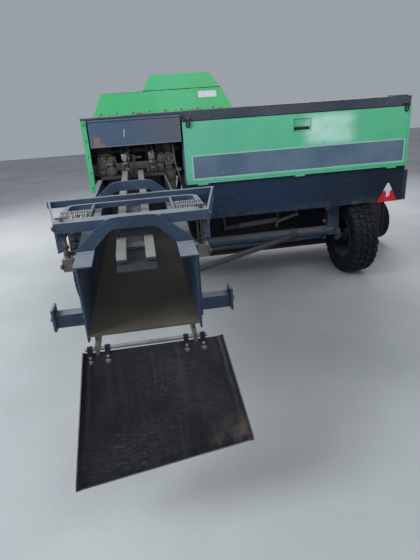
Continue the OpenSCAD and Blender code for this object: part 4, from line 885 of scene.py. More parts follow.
def ringTree():
    # copies of the seed turned evenly about an axis through Centre
    kit = Grower("ringOfCopies", {"Count": 30, "Centre": (0.0, 0.0, 0.0), "Axis": (1.0, 0.0, 0.0)})
    given = kit.given
    spots = kit.geometry("MeshLine", {
        "Count": given["Count"], "Start Location": given["Centre"], "Offset": (0, 0, 0)})
    angle = kit.geometry("InputIndex") * (2 * math.pi) / given["Count"]
    turned = kit.node("FunctionNodeAxisAngleToRotation", None, {"Axis": given["Axis"], "Angle": angle})[0]
    inputs = {"Points": spots, "Instance": given["Geometry"], "Rotation": turned}
    return kit.close(kit.geometry("InstanceOnPoints", inputs))


def rowTree():
    # copies of the seed along a line, each swayed a little at random
    kit = Grower("rowOfCopies", {
        "Count": 10, "Start": (0.0, 0.0, 0.0), "Step": (0.1, 0.0, 0.0), "Sway": 0.0, "Seed": 5})
    given = kit.given
    spots = kit.geometry("MeshLine", {
        "Count": given["Count"], "Start Location": given["Start"], "Offset": given["Step"]})
    sway = kit.node("FunctionNodeRandomValue", {"data_type": "FLOAT_VECTOR"},
                    {0: given["Sway"] * -1, 1: given["Sway"], "Seed": given["Seed"]})[0]
    inputs = {"Points": spots, "Instance": given["Geometry"], "Rotation": sway}
    return kit.close(kit.geometry("InstanceOnPoints", inputs))


trees = {"bolts": hexBoltTree(), "rivets": rivetTree(), "coils": coilTree(), "ring": ringTree(),
         "row": rowTree()}


def spotMesh(spots, width, place=at):
    # spots: a place and the way it faces, and its own width where that differs
    mesh = bpy.data.meshes.new("spots")
    mesh.from_pydata([place(*spot[0]) for spot in spots], [], [])
    mesh.attributes.new("facing", "FLOAT_VECTOR", "POINT")
    mesh.attributes.new("width", "FLOAT", "POINT")
    facing, size = mesh.attributes["facing"], mesh.attributes["width"]
    for i, spot in enumerate(spots):
        facing.data[i].vector = spot[1]
        size.data[i].value = (spot[2] if len(spot) > 2 else width) / 1000
    return mesh


def line(start, end, count, facing):
    # evenly spaced spots from start to end
    steps = max(count - 1, 1)
    return [(tuple(a + (b - a) * i / steps for a, b in zip(start, end)), facing) for i in range(count)]


def mirrored(spots):
    return spots + [((-place[0], place[1], place[2]), (-facing[0], facing[1], facing[2]), *rest)
                    for place, facing, *rest in spots]


up, down, left, right, rear, fore = (0, 0, 1), (0, 0, -1), (-1, 0, 0), (1, 0, 0), (0, -1, 0), (0, 1, 0)
print("trees ready:", len(trees))


# Tyres, wheel trim and gauge wheel

tyreLook = {"centres": {"right": 1880, "left": -446}, "y": 179, "z": 342, "radius": 342, "half": 112.5,
            "bead": 205, "pitches": 30, "tread": 15, "crown": 8}


def tyrePitch(look):
    # one pitch of the tread: two staggered middle blocks and two shoulder lugs that wrap onto the walls
    shape = Shape("tyre", local)
    radius, half = look["radius"], look["half"]
    pitch = 2 * math.pi * radius / look["pitches"]

    def spot(x, along, high):
        turn = along / radius
        level = high - look["crown"] * (x / half) ** 2
        return (x, level * math.sin(turn), level * math.cos(turn))

    for side in (-1, 1):
        shift = pitch / 2 if side > 0 else 0
        middle = [(5, -18), (26, -25), (48, -20), (48, 17), (26, 12), (5, 20)]
        centre = (27, -2)
        rows = []
        for grow, high in ((1.16, radius - look["tread"]), (1.0, radius - 3), (0.88, radius - 0.5)):
            rows.append([spot(side * (centre[0] + (x - centre[0]) * grow),
                              shift + centre[1] + (along - centre[1]) * grow, high) for x, along in middle])
        shape.rings(rows)
        section = [(55, radius - 15), (57, radius - 3), (62, radius - 0.5), (94, radius - 0.5),
                   (104, radius - 5), (112, radius - 30), (113, radius - 44), (106, radius - 46),
                   (96, radius - 24)]
        rows = []
        for along, grow in ((-21, 0.90), (-18, 1.0), (17, 1.0), (20, 0.90)):
            rows.append([spot(side * (84 + (x - 84) * grow), shift + along + (x - 55) * 0.10,
                              radius - 22 + (high - radius + 22) * grow) for x, high in section])
        shape.rings(rows)
    return shape.seed("treadPitch")


def makeTyre(side, look):
    x = look["centres"][side]
    radius, half, bead = look["radius"], look["half"], look["bead"]
    wall = [(-88, bead), (-95, bead + 4), (-101, bead + 16), (-104, bead + 22), (-107, bead + 24),
            (-107, bead + 29), (-106, bead + 33), (-109, bead + 52), (-109.5, bead + 70),
            (-108, bead + 90), (-111, bead + 93), (-110, bead + 97), (-106, bead + 101),
            (-100, bead + 112), (-88, bead + 118), (-60, radius - 16.5)]
    profile = wall + [(0, radius - 14.5)] + [(-along, high) for along, high in reversed(wall)]
    profile += [(70, bead + 8), (-70, bead + 8)]
    shape = Shape("tyre")
    shape.lathe(profile, (x, look["y"], look["z"]), "x", 96, loop=True)
    shape.onRing(tyrePitch(look), look["pitches"], (x, look["y"], look["z"]), "tyre")
    shape.piece("tyre" + side.capitalize(), "wheel_" + side, "tyre_rubber", ["tyre_" + side])


for side in ("right", "left"):
    makeTyre(side, tyreLook)


# faces: the disc's outer and inner side, with the width of the nut, the stud's length and its radius
wheelTrim = {"nutRing": 84, "nuts": 6, "cap": 36, "faces": ((25, 27, 24, 7), (14.8, 22, -18, 6))}


def makeWheelTrim(side, look):
    # wheel nuts with their studs, a domed hub cap and the valve
    out = 1 if side == "right" else -1
    x, y, z = tyreLook["centres"][side], tyreLook["y"], tyreLook["z"]
    shape = Shape("bolt")
    spots = []
    for off, width, stud, radius in look["faces"]:
        places = ringPlaces((x + out * off, y, z), look["nutRing"], look["nuts"], 0.5)
        way = out if stud > 0 else -out
        for place in places:
            spots.append((place, (way, 0, 0), width))
            shape.tube([place, (place[0] + out * stud, *place[1:])], radius, 12)
    shape.onSpots("bolts", spots, None, "bolt", {"Head height": 0.7})
    shape.use("hub")
    cap = look["cap"]
    profile = [(64, cap + 2), (70, cap + 2), (72, cap - 2), (84, cap - 4), (90, cap - 12), (92, 8)]
    shape.lathe([(out * along, high) for along, high in profile], (x, y, z), "x", 32)
    shape.use("rubber")
    high = tyreLook["bead"] - 14
    valve = [(x + out * off, y + high - drop, z) for off, drop in ((40, 0), (62, 8), (82, 22))]
    shape.tube(valve, [6, 5, 4], 10)
    shape.piece("wheelTrim" + side.capitalize(), "wheel_" + side, "teal_paint")


for side in ("right", "left"):
    makeWheelTrim(side, wheelTrim)


gaugeLook = {"x": 2540, "y": 900, "z": 245, "radius": 200, "half": 48, "rim": 118, "lugs": 44}


def makeGaugeWheel(look):
    centre = (look["x"], look["y"], look["z"])
    radius, half, rim = look["radius"], look["half"], look["rim"]
    shape = Shape("tyre")
    flank = [(-34, rim), (-42, rim + 6), (-half, rim + 24), (-half, radius - 30), (-43, radius - 12),
             (-34, radius - 6), (-18, radius - 4), (-15, radius - 9), (-9, radius - 9), (-6, radius - 3.5)]
    profile = flank + [(-along, high) for along, high in reversed(flank)] + [(30, rim + 4), (-30, rim + 4)]
    shape.lathe(profile, centre, "x", 72, loop=True)
    lug = Shape("tyre", local)
    for side in (-1, 1):
        outline = [(side * 20, radius - 10), (side * 20, radius - 1.5), (side * 40, radius - 5),
                   (side * half, radius - 20), (side * 44, radius - 24), (side * 36, radius - 12)]
        lug.plate(outline, "y", -6, 6)
    shape.onRing(lug.seed("gaugeLug"), look["lugs"], centre, "tyre")
    shape.use("rail")
    dish = [(-40, rim + 1), (-44, rim - 1), (-44, rim - 8), (-36, rim - 12), (-20, rim - 16),
            (-16, rim - 40), (-20, 46), (-34, 38), (-46, 34), (-46, 17)]
    dish += [(-along, high) for along, high in reversed(dish)]
    shape.lathe(dish, centre, "x", 48, loop=True)
    bolts = [(place, (side, 0, 0)) for side in (-1, 1)
             for place in ringPlaces((look["x"] + side * 18, *centre[1:]), 62, 5)]
    shape.onSpots("bolts", bolts, 13, "bolt")
    shape.piece("gaugeWheel", "gauge_wheel", "tyre_rubber", ["gauge_wheel"])


makeGaugeWheel(gaugeLook)


# Bale chute

# the sheet's corners as x at its top and its end, then its edge, its mesh and what it hangs on
chuteLook = {
    "hinge": (0, -1864, 644), "slope": 50, "length": 512, "skew": 75,
    "topLeft": -255, "topRight": 311, "endLeft": -310, "endRight": 366,
    "lip": 26, "fold": 30, "sheet": 2.2, "across": 40, "down": 30,
    "stiffener": ((-235, 60, -16), (285, 92, -4)), "pin": [(-250, 0, 0), (250, 0, 0)],
    "lugs": (-240, -170, 150, 220),
}


def chutePlace(x, y, z):
    # the sheet's own frame: y runs down the slope, z stands off the sheet
    hinge = chuteLook["hinge"]
    _, alongY, alongZ = tilted(x, -y, z, chuteLook["slope"])
    return at(x, hinge[1] + alongY, hinge[2] + alongZ)


def makeChute(look):
    shape = Shape("chute", chutePlace)

    def level(u, v, lowEdge):
        # gentle dents, a curled lip on both sides, the foot bent a little down
        side = min(u, 1 - u) * 600
        lip = look["lip"] * max(0, 1 - side / look["fold"]) ** 1.7
        waves = 3.2 * math.sin(7.1 * u + 4 * v) * math.sin(9 * v + 1.3) + 2.1 * math.sin(17 * u - 6 * v)
        crease = -4.5 * math.exp(-((u - 0.33) / 0.012) ** 2) - 4.5 * math.exp(-((u - 0.68) / 0.012) ** 2)
        foot = -7 * max(0, (v - 0.93) / 0.07) ** 2
        calm = min(1, v * 5) * min(1, side / 60)
        return lip + (waves + crease) * calm + foot

    across, down = look["across"], look["down"]
    rows = []
    for j in range(down + 1):
        v = j / down
        top = []
        foot = []
        for i in range(across + 1):
            u = i / across
            u = (1 - math.cos(math.pi * u)) / 2 * 0.5 + u * 0.5
            start = look["topLeft"] + (look["topRight"] - look["topLeft"]) * u
            end = look["endLeft"] + (look["endRight"] - look["endLeft"]) * u
            x = start + (end - start) * v
            far = look["length"] - look["skew"] * u
            y = 14 + (far - 14) * v
            z = level(u, v, far)
            top.append((x, y, z + look["sheet"] / 2))
            foot.append((x, y, z - look["sheet"] / 2))
        rows.append(top + foot[::-1])
    shape.rings(rows)
    # bare rolled edge round the sheet
    shape.use("edge")
    ring = [row[0] for row in rows] + rows[-1][1:across] + [row[across] for row in reversed(rows)]
    shape.tube(ring, 2.4, 6)
    # stiffener below, hinge lugs and the knuckles on their pin
    shape.use("chute")
    shape.block(*look["stiffener"], 3)
    for x in look["lugs"]:
        outline = [(14, -14), (60, -9), (60, 1), (20, 10)] + arc((0, 0), 14, 60, 300, 10)
        shape.plate(outline, "x", x, x + 20)
    shape.use("steel")
    shape.tube(look["pin"], 8.6, 20)
    normal = tilted(0, 0, 1, look["slope"])
    bolts = [((x + 10, y, 2), normal) for x in look["lugs"] for y in (36, 52)]
    shape.onSpots("bolts", bolts, 13, "bolt")
    shape.piece("chuteSheet", "chute", "black_sheet", ["chute"])


makeChute(chuteLook)


# Lid fittings: rubber hooks, hand recess

latchLook = {"places": (446, 2197), "top": 1436, "foot": 1376, "half": 12, "strap": 5}


def makeLatches(look):
    shape = Shape("rubber")
    for x in look["places"]:
        top, foot, half = look["top"], look["foot"], look["half"]
        down = [(-14, top), (-30, top - 4), (-34, top - 16), (-33, foot + 14)]
        bend = arc((x, foot + 12), half, 180, 360, 8)
        loop = [(x - half, y, z) for y, z in down] + [(a, -33, b) for a, b in bend]
        shape.tube(loop + [(x + half, y, z) for y, z in reversed(down)], look["strap"], 10)
        shape.use("steel")
        shape.block((x - 18, -16, top - 10), (x + 18, -9, top + 10), 2)
        shape.tube([(x, y, foot + high) for y, high in ((-24, 26), (-34, 24), (-38, 14), (-36, 4))], 3.2, 8)
        shape.block((x - 9, -27, foot + 18), (x + 9, -24, foot + 44), 1)
        shape.use("rubber")
    shape.piece("lidHooks", "lid", "latch_rubber", ["lid_latches"])


recessLook = {"left": 1264.5, "right": 1405.5, "top": 1377, "foot": 1283, "rear": -19, "bottom": -7.5}


def makeHandRecess(look):
    # sloped roof and pull lip inside the lid's pocket
    shape = Shape("lid")
    left, right, top, foot = look["left"], look["right"], look["top"], look["foot"]
    outer, inner = look["rear"], look["bottom"]
    roof = [(outer + 0.5, top), (inner, top), (inner, top - 55), (inner - 2, top - 55)]
    lip = [(outer, foot + 8), (inner, foot + 8), (inner, foot), (outer, foot)]
    shape.plate(roof, "x", left, right)
    shape.plate(lip, "x", left, right)
    shape.tube([(left + 1.5, outer, foot + 4), (right - 1.5, outer, foot + 4)], 4, 10)
    shape.use("rubber")
    shape.block((left + 7.5, inner - 1.9, foot + 11), (right - 7.5, inner + 0.1, foot + 35), 0.8)
    shape.piece("handRecess", "lid", "green_paint")


makeLatches(latchLook)
makeHandRecess(recessLook)


# Hood plate, screws and seam

def hoodFace(x, z, off=0):
    # the lower tier's sloped rear face
    return (x, 12 + (z - 1490) / 152 * 38 - off, z)


hoodLook = {"plate": (545, 683, 1576, 1620), "corner": 7, "screws": range(-180, 760, 118),
            "screwHeight": 1504, "facing": (0, -0.97, 0.24), "seam": [(139, 66, 1643), (719, 66, 1643)]}


def makeHoodTrim(look):
    shape = Shape("sticker")
    corner = look["corner"]
    x0, x1, z0, z1 = look["plate"]
    outline = []
    for cx, cz, start in ((x1 - corner, z1 - corner, 0), (x0 + corner, z1 - corner, 90),
                          (x0 + corner, z0 + corner, 180), (x1 - corner, z0 + corner, 270)):
        outline += arc((cx, cz), corner, start, start + 90, 4)
    shape.rings([[hoodFace(x, z, off) for x, z in outline] for off in (-0.6, 1.0)])
    spots = [(hoodFace(x, look["screwHeight"], -0.2), look["facing"]) for x in look["screws"]]
    shape.onSpots("rivets", spots, 12, "rusty")
    # rubber seam between the tiers
    shape.use("rubber")
    shape.tube(look["seam"], 3, 8)
    shape.piece("hoodTrim", "chassis", "green_paint")


makeHoodTrim(hoodLook)


# Springs, threads and nuts of the tension gear

springLook = {
    "x": (192, -312), "rows": (-1537, -1470), "z": 1102,
    "spring": {"turns": 12.0, "radius": 24.2, "wire": 4.4, "length": 120, "sides": 8},
    "screw": (293, -1612), "threadFoot": 978,
    "thread": {"turns": 32.0, "radius": 7.1, "wire": 1.1, "length": 98, "sides": 4},
    "nuts": [(1066, down, 24), (976, up, 24), (1004, up, 22)],
    "thinNuts": [((274, -1604, 976), up, 13), ((274, -1604, 1064), down, 13)], "grip": (1119, 1138),
}


def coilSizes(turns, radius, wire, length, sides):
    # millimetres to the coil tree's metres
    return {"Turns": turns, "Coil radius": radius / 1000, "Wire": wire / 1000, "Length": length / 1000,
            "Sides": sides}


def makeTensionTrim(look):
    shape = Shape("steel")
    coils = [((x, y, look["z"]), right) for x in look["x"] for y in look["rows"]]
    shape.onSpots("coils", coils, 1000, "steel", coilSizes(**look["spring"]))
    x, y = look["screw"]
    threads = [((side * x, y, look["threadFoot"]), up) for side in (-1, 1)]
    shape.onSpots("coils", threads, 1000, "steel", coilSizes(**look["thread"]))
    nuts = mirrored([((x, y, z), way, width) for z, way, width in look["nuts"]] + look["thinNuts"])
    shape.onSpots("bolts", nuts, 24, "bolt", {"Washer width": 1.3})
    # grip handles that turn the two screws, above the beam
    shape.use("bolt")
    foot, top = look["grip"]
    for side in (-1, 1):
        shape.tube([(side * x, y, foot), (side * x, y, top)], 9, 14)
        shape.tube([(side * (x - 26), y, top - 5), (side * (x + 24), y, top - 5)], 5, 10)
    shape.piece("tensionTrim", "chassis", "bare_steel")


makeTensionTrim(springLook)


# Knotter trim

# places of one knotter are given from its disc; the rings of bolts lie round the clutch on the shaft
knotLook = {
    "discs": (-75, 115),
    "springs": [((64, 40, 1062), up), ((8, 60, 1078), up)],
    "coil": {"turns": 9.0, "radius": 10, "wire": 1.8, "length": 72, "sides": 6},
    "bolts": [
        ((60.2, 96, 1230), right, 14), ((60.2, 170, 1165), right, 14), ((60.2, 110, 1074), right, 12),
        ((15.8, 96, 1146), left, 12), ((15.8, 98, 1122), left, 11), ((42, 62, 1205), rear, 13),
        ((34, 62, 1212), rear, 10), ((70.4, 118, 1192), right, 17), ((68.4, 146, 1106), right, 15)],
    "hook": [(34, 14, 1130), (32, 0, 1118), (28, -12, 1106), (22, -20, 1098), (14, -22, 1096),
             (8, -18, 1098)],
    "hookRadii": [7, 6.5, 5.5, 4.5, 3.5, 2],
    "pipe": [(50, 150, 1240), (54, 120, 1262), (52, 90, 1250), (48, 70, 1222), (50, 58, 1186),
             (56, 56, 1150)],
    "finger": arc((40, 1066), 46, 170, 20, 12) + arc((40, 1064), 36, 20, 170, 12),
    "collars": (26, 37, 48, 59), "collar": [(-1.8, 17), (-1.8, 19.5), (1.8, 19.5), (1.8, 17)],
    "foot": ((20, 58, 1070), (58, 66, 1096)),
    "clutch": (250, 1215), "clutchBolts": ((249.8, 44, 0), (267.8, 90, 0.5)),
    "tableBolts": [(-280, 186, 1070.4), (-236, 186, 1070.4), (262, 186, 1070.4), (330, 186, 1070.4)],
}


def makeKnotterTrim(look):
    # springs, bill hooks, curved fingers, grease pipes and small bolts round both knotters and the clutch
    shape = Shape("cast")
    springs = []
    bolts = []
    for disc in look["discs"]:
        springs += [(*shifted([place], disc), facing) for place, facing in look["springs"]]
        bolts += [(*shifted([place], disc), facing, width) for place, facing, width in look["bolts"]]
        shape.use("edge")
        shape.tube(shifted(look["hook"], disc), look["hookRadii"], 8)
        shape.use("cast")
        shape.plate(look["finger"], "x", disc - 6, disc - 1)
        shape.tube(shifted(look["pipe"], disc), 2.6, 8)
        for x in look["collars"]:
            shape.lathe(look["collar"], (disc + x, 118, 1192), "x", 20)
        shape.block(*shifted(look["foot"], disc), 2)
    shape.onSpots("coils", springs, 1000, "edge", coilSizes(**look["coil"]))
    y, z = look["clutch"]
    for i in range(6):
        for x, radius, shift in look["clutchBolts"]:
            turn = 2 * math.pi * i / 6 + shift
            bolts.append(((x, y + radius * math.cos(turn), z + radius * math.sin(turn)), left))
    bolts += [(place, up) for place in look["tableBolts"]]
    shape.onSpots("bolts", bolts, 12, "bolt", {"Washer width": 1.35})
    shape.piece("knotterTrim", "chassis", "dull_steel")


makeKnotterTrim(knotLook)


bayLook = {
    "castings": [
        ((-258, 74, 1058.2), (-116, 138, 1112), 6), ((-258, 74, 1110), (-190, 134, 1206), 6),
        ((-192, 82, 1138), (-118, 134, 1198), 6), ((-250, 96, 1204), (-170, 128, 1224), 6),
        ((-64, 120, 1058.2), (-20, 170, 1106), 6), ((196, 92, 1058.2), (244, 150, 1120), 6),
        ((204, 100, 1118), (236, 144, 1190), 6), ((262, 104, 1058.2), (310, 130, 1110), 4),
        ((246, 112, 968), (336, 150, 1062), 6), ((252, 116, 868), (330, 146, 972), 6)],
    "covers": [(-224, 1084, 26), (-150, 1166, 20), (-148, 1084, 16), (220, 1156, 30), (-232, 1176, 15)],
    "coverFront": 88,
    "ribs": (-214, -172, -138), "ribOutline": [(74, 1112), (66, 1096), (66, 1072), (74, 1062)],
    "pipes": [
        ([(-262, 90, 1066), (-270, 78, 1110), (-262, 72, 1160), (-236, 70, 1204), (-190, 74, 1216),
          (-150, 82, 1206)], 4),
        ([(-126, 76, 1066), (-112, 66, 1100), (-114, 62, 1140), (-124, 70, 1176)], 3.2),
        ([(252, 96, 1064), (262, 80, 1100), (256, 70, 1150), (240, 80, 1198), (214, 96, 1206)], 4)],
    "disc": (286, 96, 1150), "drum": (292, 112, 1010), "caps": ((-76, -30), (130, 173)),
    "discProfile": [(40, 50), (0, 50), (-3, 47), (-3, 38), (2, 34), (2, 18), (-12, 16), (-14, 4)],
    "drumProfile": [(0, 34), (-8, 34), (-12, 30), (-12, 16), (-22, 14), (-24, 4)],
    "bright": [((-52, 55.8, 1148), 12), ((208, 91.6, 1112), 16), ((212, 99.6, 1184), 13),
               ((312, 91.6, 1133), 12), ((-40, 55.8, 1196), 9), ((151, 55.8, 1196), 9)],
    "dull": [((x, 73.8, z), 12) for x in (-248, -202) for z in (1124, 1192)]
            + [((x, 73.8, 1076), 11) for x in (-196, -128)] + [((x, 81.8, 1188), 10) for x in (-178, -128)],
}


def makeBayCastings(look):
    # the castings left and right of the knotters, standing on the knotter table
    shape = Shape("cast")
    for casting in look["castings"]:
        shape.block(*casting)
    for x, z, high in look["covers"]:
        profile = [(14, high), (-6, high), (-10, high - 4), (-10, high * 0.5), (-16, high * 0.45), (-18, 3)]
        shape.lathe(profile, (x, look["coverFront"], z), "y", 24)
    for x in look["ribs"]:
        shape.plate(look["ribOutline"], "x", x, x + 7)
    for path, radius in look["pipes"]:
        shape.tube(path, radius, 8)
    # disc of the needle drive behind the trip rod, and the drum below it
    shape.lathe(look["discProfile"], look["disc"], "y", 36)
    shape.lathe(look["drumProfile"], look["drum"], "y", 28)
    # light upper caps of the knotter frames
    shape.use("pale")
    for x0, x1 in look["caps"]:
        shape.block((x0, 56, 1176), (x1, 64, 1216), 3)
        shape.block((x0 + 6, 60, 1160), (x1 - 6, 84, 1180), 3)
    bright = [(place, rear, width) for place, width in look["bright"]]
    shape.onSpots("bolts", bright, 12, "pale", {"Washer width": 1.4})
    shape.onSpots("bolts", [(place, rear, width) for place, width in look["dull"]], 12, "bolt")
    shape.piece("bayCastings", "chassis", "dull_steel")


makeBayCastings(bayLook)


# Pickup reel with double spring tines

reelLook = {"left": 340, "right": 2440, "y": 880, "z": 330, "tip": 240, "ring": 128, "bars": 4, "bands": 25,
            "shaft": 17, "core": 44, "end": 14, "turn": 20}


def reelBar(look):
    # one tine bar with its holders; each tine is a coil on the bar and a leg bent back at the tip
    bar = Shape("rusty", local)
    width = look["right"] - look["left"]
    pitch = width / look["bands"]
    bar.tube([(12, look["ring"], 0), (width - 12, look["ring"], 0)], 11.5, 16)
    for x in (30, width / 2 - 8, width - 46):
        bar.block((x, 0, -12), (x + 16, look["ring"] + 10, 12), 3)
    tine = Shape("tine", local)
    coil = []
    for k in range(31):
        turn = 2 * math.pi * k / 12
        coil.append((-12 + k * 0.62, 15 * math.cos(turn), 15 * math.sin(turn)))
    leg = [(6.8, 0, -15), (6, 30, -17), (4, 68, -19), (1, 92, -23), (0, look["tip"] - look["ring"] - 8, -31)]
    tine.tube(coil[:-3] + leg, 3.2, 7)
    step = (pitch / 1000, 0, 0)
    start = (pitch / 1000, look["ring"] / 1000, 0)
    sizes = {"Count": look["bands"] - 1, "Start": start, "Step": step, "Sway": 0.03, "Seed": 8}
    tines = trees["row"].grow(tine.seed("tine"), "tine", sizes)
    return bar.seed("tineBar"), tines


def makeReel(look):
    y, z = look["y"], look["z"]
    centre = (look["left"], y, z)
    shape = Shape("steel")
    shape.tube([(look["left"] - look["end"], y, z), (look["right"] + look["end"], y, z)], look["shaft"], 20)
    shape.use("rusty")
    shape.tube([(look["left"] + 20, y, z), (look["right"] - 20, y, z)], look["core"], 28)
    turn = Matrix.Rotation(math.radians(look["turn"]), 4, "X")
    for mesh, finish in zip(reelBar(look), ("rusty", "tine")):
        mesh.transform(turn)
        shape.onRing(mesh, look["bars"], centre, finish)
    shape.piece("tinedReel", "reel", "dull_steel", ["pickup_reel"])


makeReel(reelLook)


# Drive shaft ribs and cross joint

shaftLook = {"start": (0, 1830, 930), "fall": 15.5, "length": 1000, "radius": 36, "ribs": 12}


def shaftPlace(x, y, z):
    # the shaft's own frame: z runs forward along it
    start = shaftLook["start"]
    _, alongY, alongZ = tilted(x, z, -y, -shaftLook["fall"])
    return at(x, start[1] + alongY, start[2] + alongZ)


def makeShaftTrim(look):
    rib = Shape("plastic", lambda x, y, z: shaftPlace(x, y, z) - shaftPlace(0, 0, 0))
    profile = [(-5, 35), (-5, 38.5), (-3, 39.5), (3, 39.5), (5, 38.5), (5, 35)]
    rib.lathe(profile, (0, 0, 0), "z", 36, loop=True)
    near, far = shaftPlace(0, 0, 110), shaftPlace(0, 0, 530)
    step = tuple((far - near) / (look["ribs"] - 1))
    shape = Shape("plastic", shaftPlace)
    sizes = {"Count": look["ribs"], "Start": tuple(near), "Step": step}
    shape.join(trees["row"].grow(rib.seed("rib"), "plastic", sizes), "plastic")
    for z in (46, 62):
        bell = [(-4, 60), (-4, 75 - z * 0.12), (4, 73 - z * 0.12), (4, 60)]
        shape.lathe(bell, (0, 0, z), "z", 40, loop=True)
    # cross of the front joint and the splined yoke
    shape.use("steel")
    z = look["length"] + 66
    shape.tube([(-46, 0, z), (46, 0, z)], 10.2, 16)
    shape.tube([(0, -36, z), (0, 36, z)], 10, 16)
    shape.lathe([(-14, 15), (-14, 19), (14, 19), (14, 15)], (0, 0, z), "z", 24, loop=True)
    for side in (-1, 1):
        shape.lathe([(0, 14), (side * 4, 14), (side * 6, 9)], (side * 42, 0, z), "x", 20)
    shape.piece("shaftTrim", "drawbar", "guard_plastic")


makeShaftTrim(shaftLook)


# Bolts, screws and rivets, one piece for each body

def shelfTop(y):
    # height of the wall's upper flange, which falls towards the rear
    return 1050 - 65 * (y - 945) / 885


archFeet = []
for archY in (1035, 1666):
    for x in (192, 232):
        archFeet.append(((x, -archY + 20, shelfTop(archY - 20) + 0.4), up, 15))

chassisBolts = (
    mirrored(archFeet)
    + mirrored(line((322, -1640, 1099), (322, -1590, 1099), 2, right))
    + mirrored(line((250, -1700, 720), (250, -1700, 930), 3, right))
    + mirrored(line((258.4, -1250, 700), (258.4, -1250, 960), 3, right))
    + mirrored(line((258.4, -760, 700), (258.4, -760, 960), 3, right))
    + mirrored(line((430.4, -1524, 640), (430.4, -1476, 640), 2, right))
    + mirrored(line((315.4, -1636, 930), (315.4, -1590, 930), 2, right))
    + line((-210, 1345.4, 1030), (210, 1345.4, 1030), 4, fore)
    + line((-100, 1485, 1020), (100, 1485, 1020), 4, fore)
    + line((-100, 1485, 830), (100, 1485, 830), 4, fore)
    + [((1616, 148.6, z), rear, 19) for z in (430, 500)]
    + [((1640, 148.6, z), rear, 19) for z in (610, 660)]
    + [((-236, 199, 640), rear, 17), ((236, 199, 640), rear, 17)]
)

chassisRivets = (
    line((-300, -4.2, 1482), (2216, -4.2, 1482), 12, rear)
    + line((2248.4, 40, 1450), (2248.4, 390, 1450), 4, right)
    + line((2248.4, 40, 800), (2248.4, 390, 800), 4, right)
    + line((-331.4, 40, 1440), (-331.4, 400, 1440), 4, left)
    + line((-331.4, 40, 990), (-331.4, 400, 990), 4, left)
    + line((-311, -0.4, 990), (-311, -0.4, 1440), 5, rear)
    + line((430, -0.4, 676), (2040, -0.4, 676), 8, rear)
    + line((-200, 434.4, 1452), (2200, 434.4, 1452), 13, fore)
    + line((440, 430.4, 800), (440, 430.4, 1420), 4, fore)
)

lidRivets = line((412, -22.2, 968), (2234, -22.2, 968), 9, rear)


def makeFixings():
    shape = Shape("bolt")
    shape.onSpots("bolts", chassisBolts, 17, "bolt")
    shape.onSpots("rivets", chassisRivets, 11, "cover")
    shape.piece("chassisFixings", "chassis", "dull_steel")
    shape = Shape("edge")
    shape.onSpots("rivets", lidRivets, 10, "edge")
    shape.piece("lidRivets", "lid", "dull_steel")
    # bolts that hold the stripper bands to their tubes
    pitch = (reelLook["right"] - reelLook["left"]) / reelLook["bands"]
    spots = []
    for i in range(reelLook["bands"]):
        x = reelLook["left"] + pitch * (i + 0.5)
        spots += [((x, 664, 524.4), up), ((x, 664, 135.6), down)]
    shape = Shape("bolt")
    shape.onSpots("bolts", spots, 13, "bolt")
    shape.piece("bandBolts", "pickup", "rusty_sheet")


makeFixings()


# Plate under the rails, brace and lift linkage below the box, back sheet of the pickup

braceLook = {
    "axle": (1339, 150, 386), "wall": (262, -1111, 639), "radius": 19, "end": 14,
    "clampCentre": (1339, 179, 405), "clamp": [(-28, 40.2), (-28, 46), (28, 46), (28, 40.2)],
    "clampFoot": ((1320, 136, 352), (1358, 180, 372), 3),
    "lug": [((238.2, -1156, 622), (247.2, -1066, 706), 2), ((238.2, -1124, 620), (272, -1098, 658), 3)],
    "bolts": [((247.4, y, z), right) for y in (-1140, -1082) for z in (676, 694)]
             + [((1339, 158, 352), down), ((262, -1111, 620), down)],
}


def makeBrace(look):
    # round brace from the axle tube to the channel's wall, with flattened ends, a clamp and a lug
    low, high = Vector(look["axle"]), Vector(look["wall"])
    way = (high - low).normalized()
    radius, end = look["radius"], look["end"]
    shape = Shape("brace")
    path = [low + way * 40, low + way * 64, high - way * 64, high - way * 40]
    shape.tube(path, [radius - 3, radius, radius, radius - 3], 24)
    shape.tube([low, low + way * 48], end, 12)
    shape.tube([high - way * 48, high], end, 12)
    shape.lathe(look["clamp"], look["clampCentre"], "x", 40, loop=True)
    for block in (look["clampFoot"], *look["lug"]):
        shape.block(*block)
    shape.onSpots("bolts", look["bolts"], 16, "bolt")
    shape.piece("axleBrace", "chassis", "teal_paint")


makeBrace(braceLook)

liftLook = {
    "ram": [(862, 256, 506), (1228, 256, 528)], "rod": [(740, 256, 498), (862, 256, 506)],
    "arm": [(1196, 222, 468), (1206, 226, 516), (1316, 232, 548), (1400, 236, 566)],
    "straps": ((736, 240, 478), (1222, 240, 508), (1392, 220, 546)), "strapTop": [(404, 704), (346, 704)],
    "bolts": [((x + 8.2, 256, z), right) for x, z in ((736, 498), (1222, 529), (1392, 564))],
}


def makeLift(look):
    # the pickup's lift spring in its tube, with its rod and bent arm, hung on straps from the cross beam
    shape = Shape("arm")
    shape.tube(look["ram"], 23, 20)
    shape.tube(look["arm"], [12, 16, 16, 12], 14)
    shape.use("steel")
    shape.tube(look["rod"], 8, 12)
    shape.use("arm")
    for x, y, z in look["straps"]:
        shape.plate([(y, z), (y + 34, z - 6), (y + 44, z + 30), *look["strapTop"]], "x", x, x + 8)
    shape.onSpots("bolts", look["bolts"], 19, "bolt")
    start, end = (Vector(place) for place in look["rod"])
    spring = [(tuple(start), tuple((end - start).normalized()))]
    shape.onSpots("coils", spring, 1000, "edge", coilSizes(11.0, 14, 3, (end - start).length, 7))
    shape.piece("liftLinkage", "chassis", "dull_steel")


makeLift(liftLook)

backLook = {"y": 627, "low": 156, "high": 508, "left": 341, "right": 2439, "creases": 7}


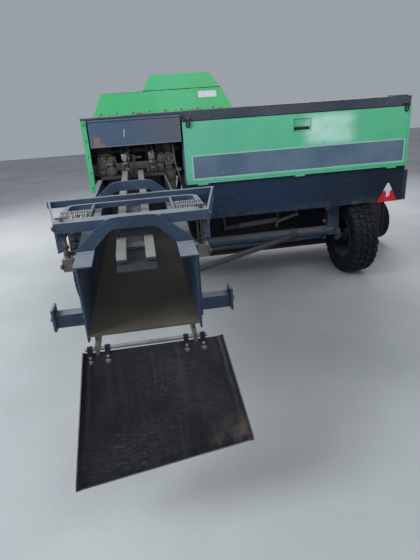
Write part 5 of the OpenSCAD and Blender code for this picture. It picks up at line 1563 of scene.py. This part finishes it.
def makePickupBack(look):
    # pressed sheet behind the reel, with upright creases and rolled edges
    shape = Shape("plate")
    count = look["creases"] * 8
    low, high, left, right = look["low"], look["high"], look["left"], look["right"]
    rows = []
    for i in range(count + 1):
        x = left + (right - left) * i / count
        y = look["y"] - (5 if i % 8 in (3, 4) else 0)
        rows.append([(x, y, low), (x, y, high), (x, y - 2, high), (x, y - 2, low)])
    shape.rings(rows)
    rear, front = look["y"] - 1, look["y"] + 12
    for z in (low, high):
        shape.tube([(left, rear - 1, z), (right, rear - 1, z)], 5, 10)
    for x in (left + 16, right - 16):
        shape.block((x - 14, rear, low), (x + 14, front, low + 30), 2)
        shape.block((x - 14, rear, high - 20), (x + 14, front, high + 6), 2)
    shape.piece("pickupBack", "pickup", "black_sheet")


makePickupBack(backLook)


def railTop(y):
    # upper face of the top rails, y given towards the rear
    return 1097 - 6 * y / 945 if y < 945 else 1091 - 74 * (y - 945) / 885


plateLook = {"half": 77, "front": 1690, "end": 1866, "sheet": 4, "rail": 38}


def makeTopPlate(look):
    # dark plate under the rails' rear ends, its tail bent down
    shape = Shape("plate")
    half = look["half"]
    rows = []
    for y, drop in ((look["front"], 0), (1790, 0), (1826, 2), (1848, 8), (look["end"], 18)):
        z = railTop(min(y, 1830)) - look["rail"] - 1 - drop
        foot = z - look["sheet"]
        rows.append([(-half, -y, z), (half, -y, z), (half, -y, foot), (-half, -y, foot)])
    shape.rings(rows)
    spots = [((x, -1816, railTop(1816) - look["rail"] - 5.2), down) for x in (-57, 57)]
    shape.onSpots("bolts", spots, 13, "bolt")
    shape.piece("topPlate", "chassis", "slate_paint")


makeTopPlate(plateLook)


def makeFloor():
    mesh = bpy.data.meshes.new("floor")
    reach = 14
    mesh.from_pydata([(-reach, -reach, 0), (reach, -reach, 0), (reach, reach, 0), (-reach, reach, 0)],
                     [], [(0, 1, 2, 3)])
    floor = bpy.data.objects.new("floor", mesh)
    bpy.context.scene.collection.objects.link(floor)
    mesh.materials.append(floorFinish())


makeFloor()
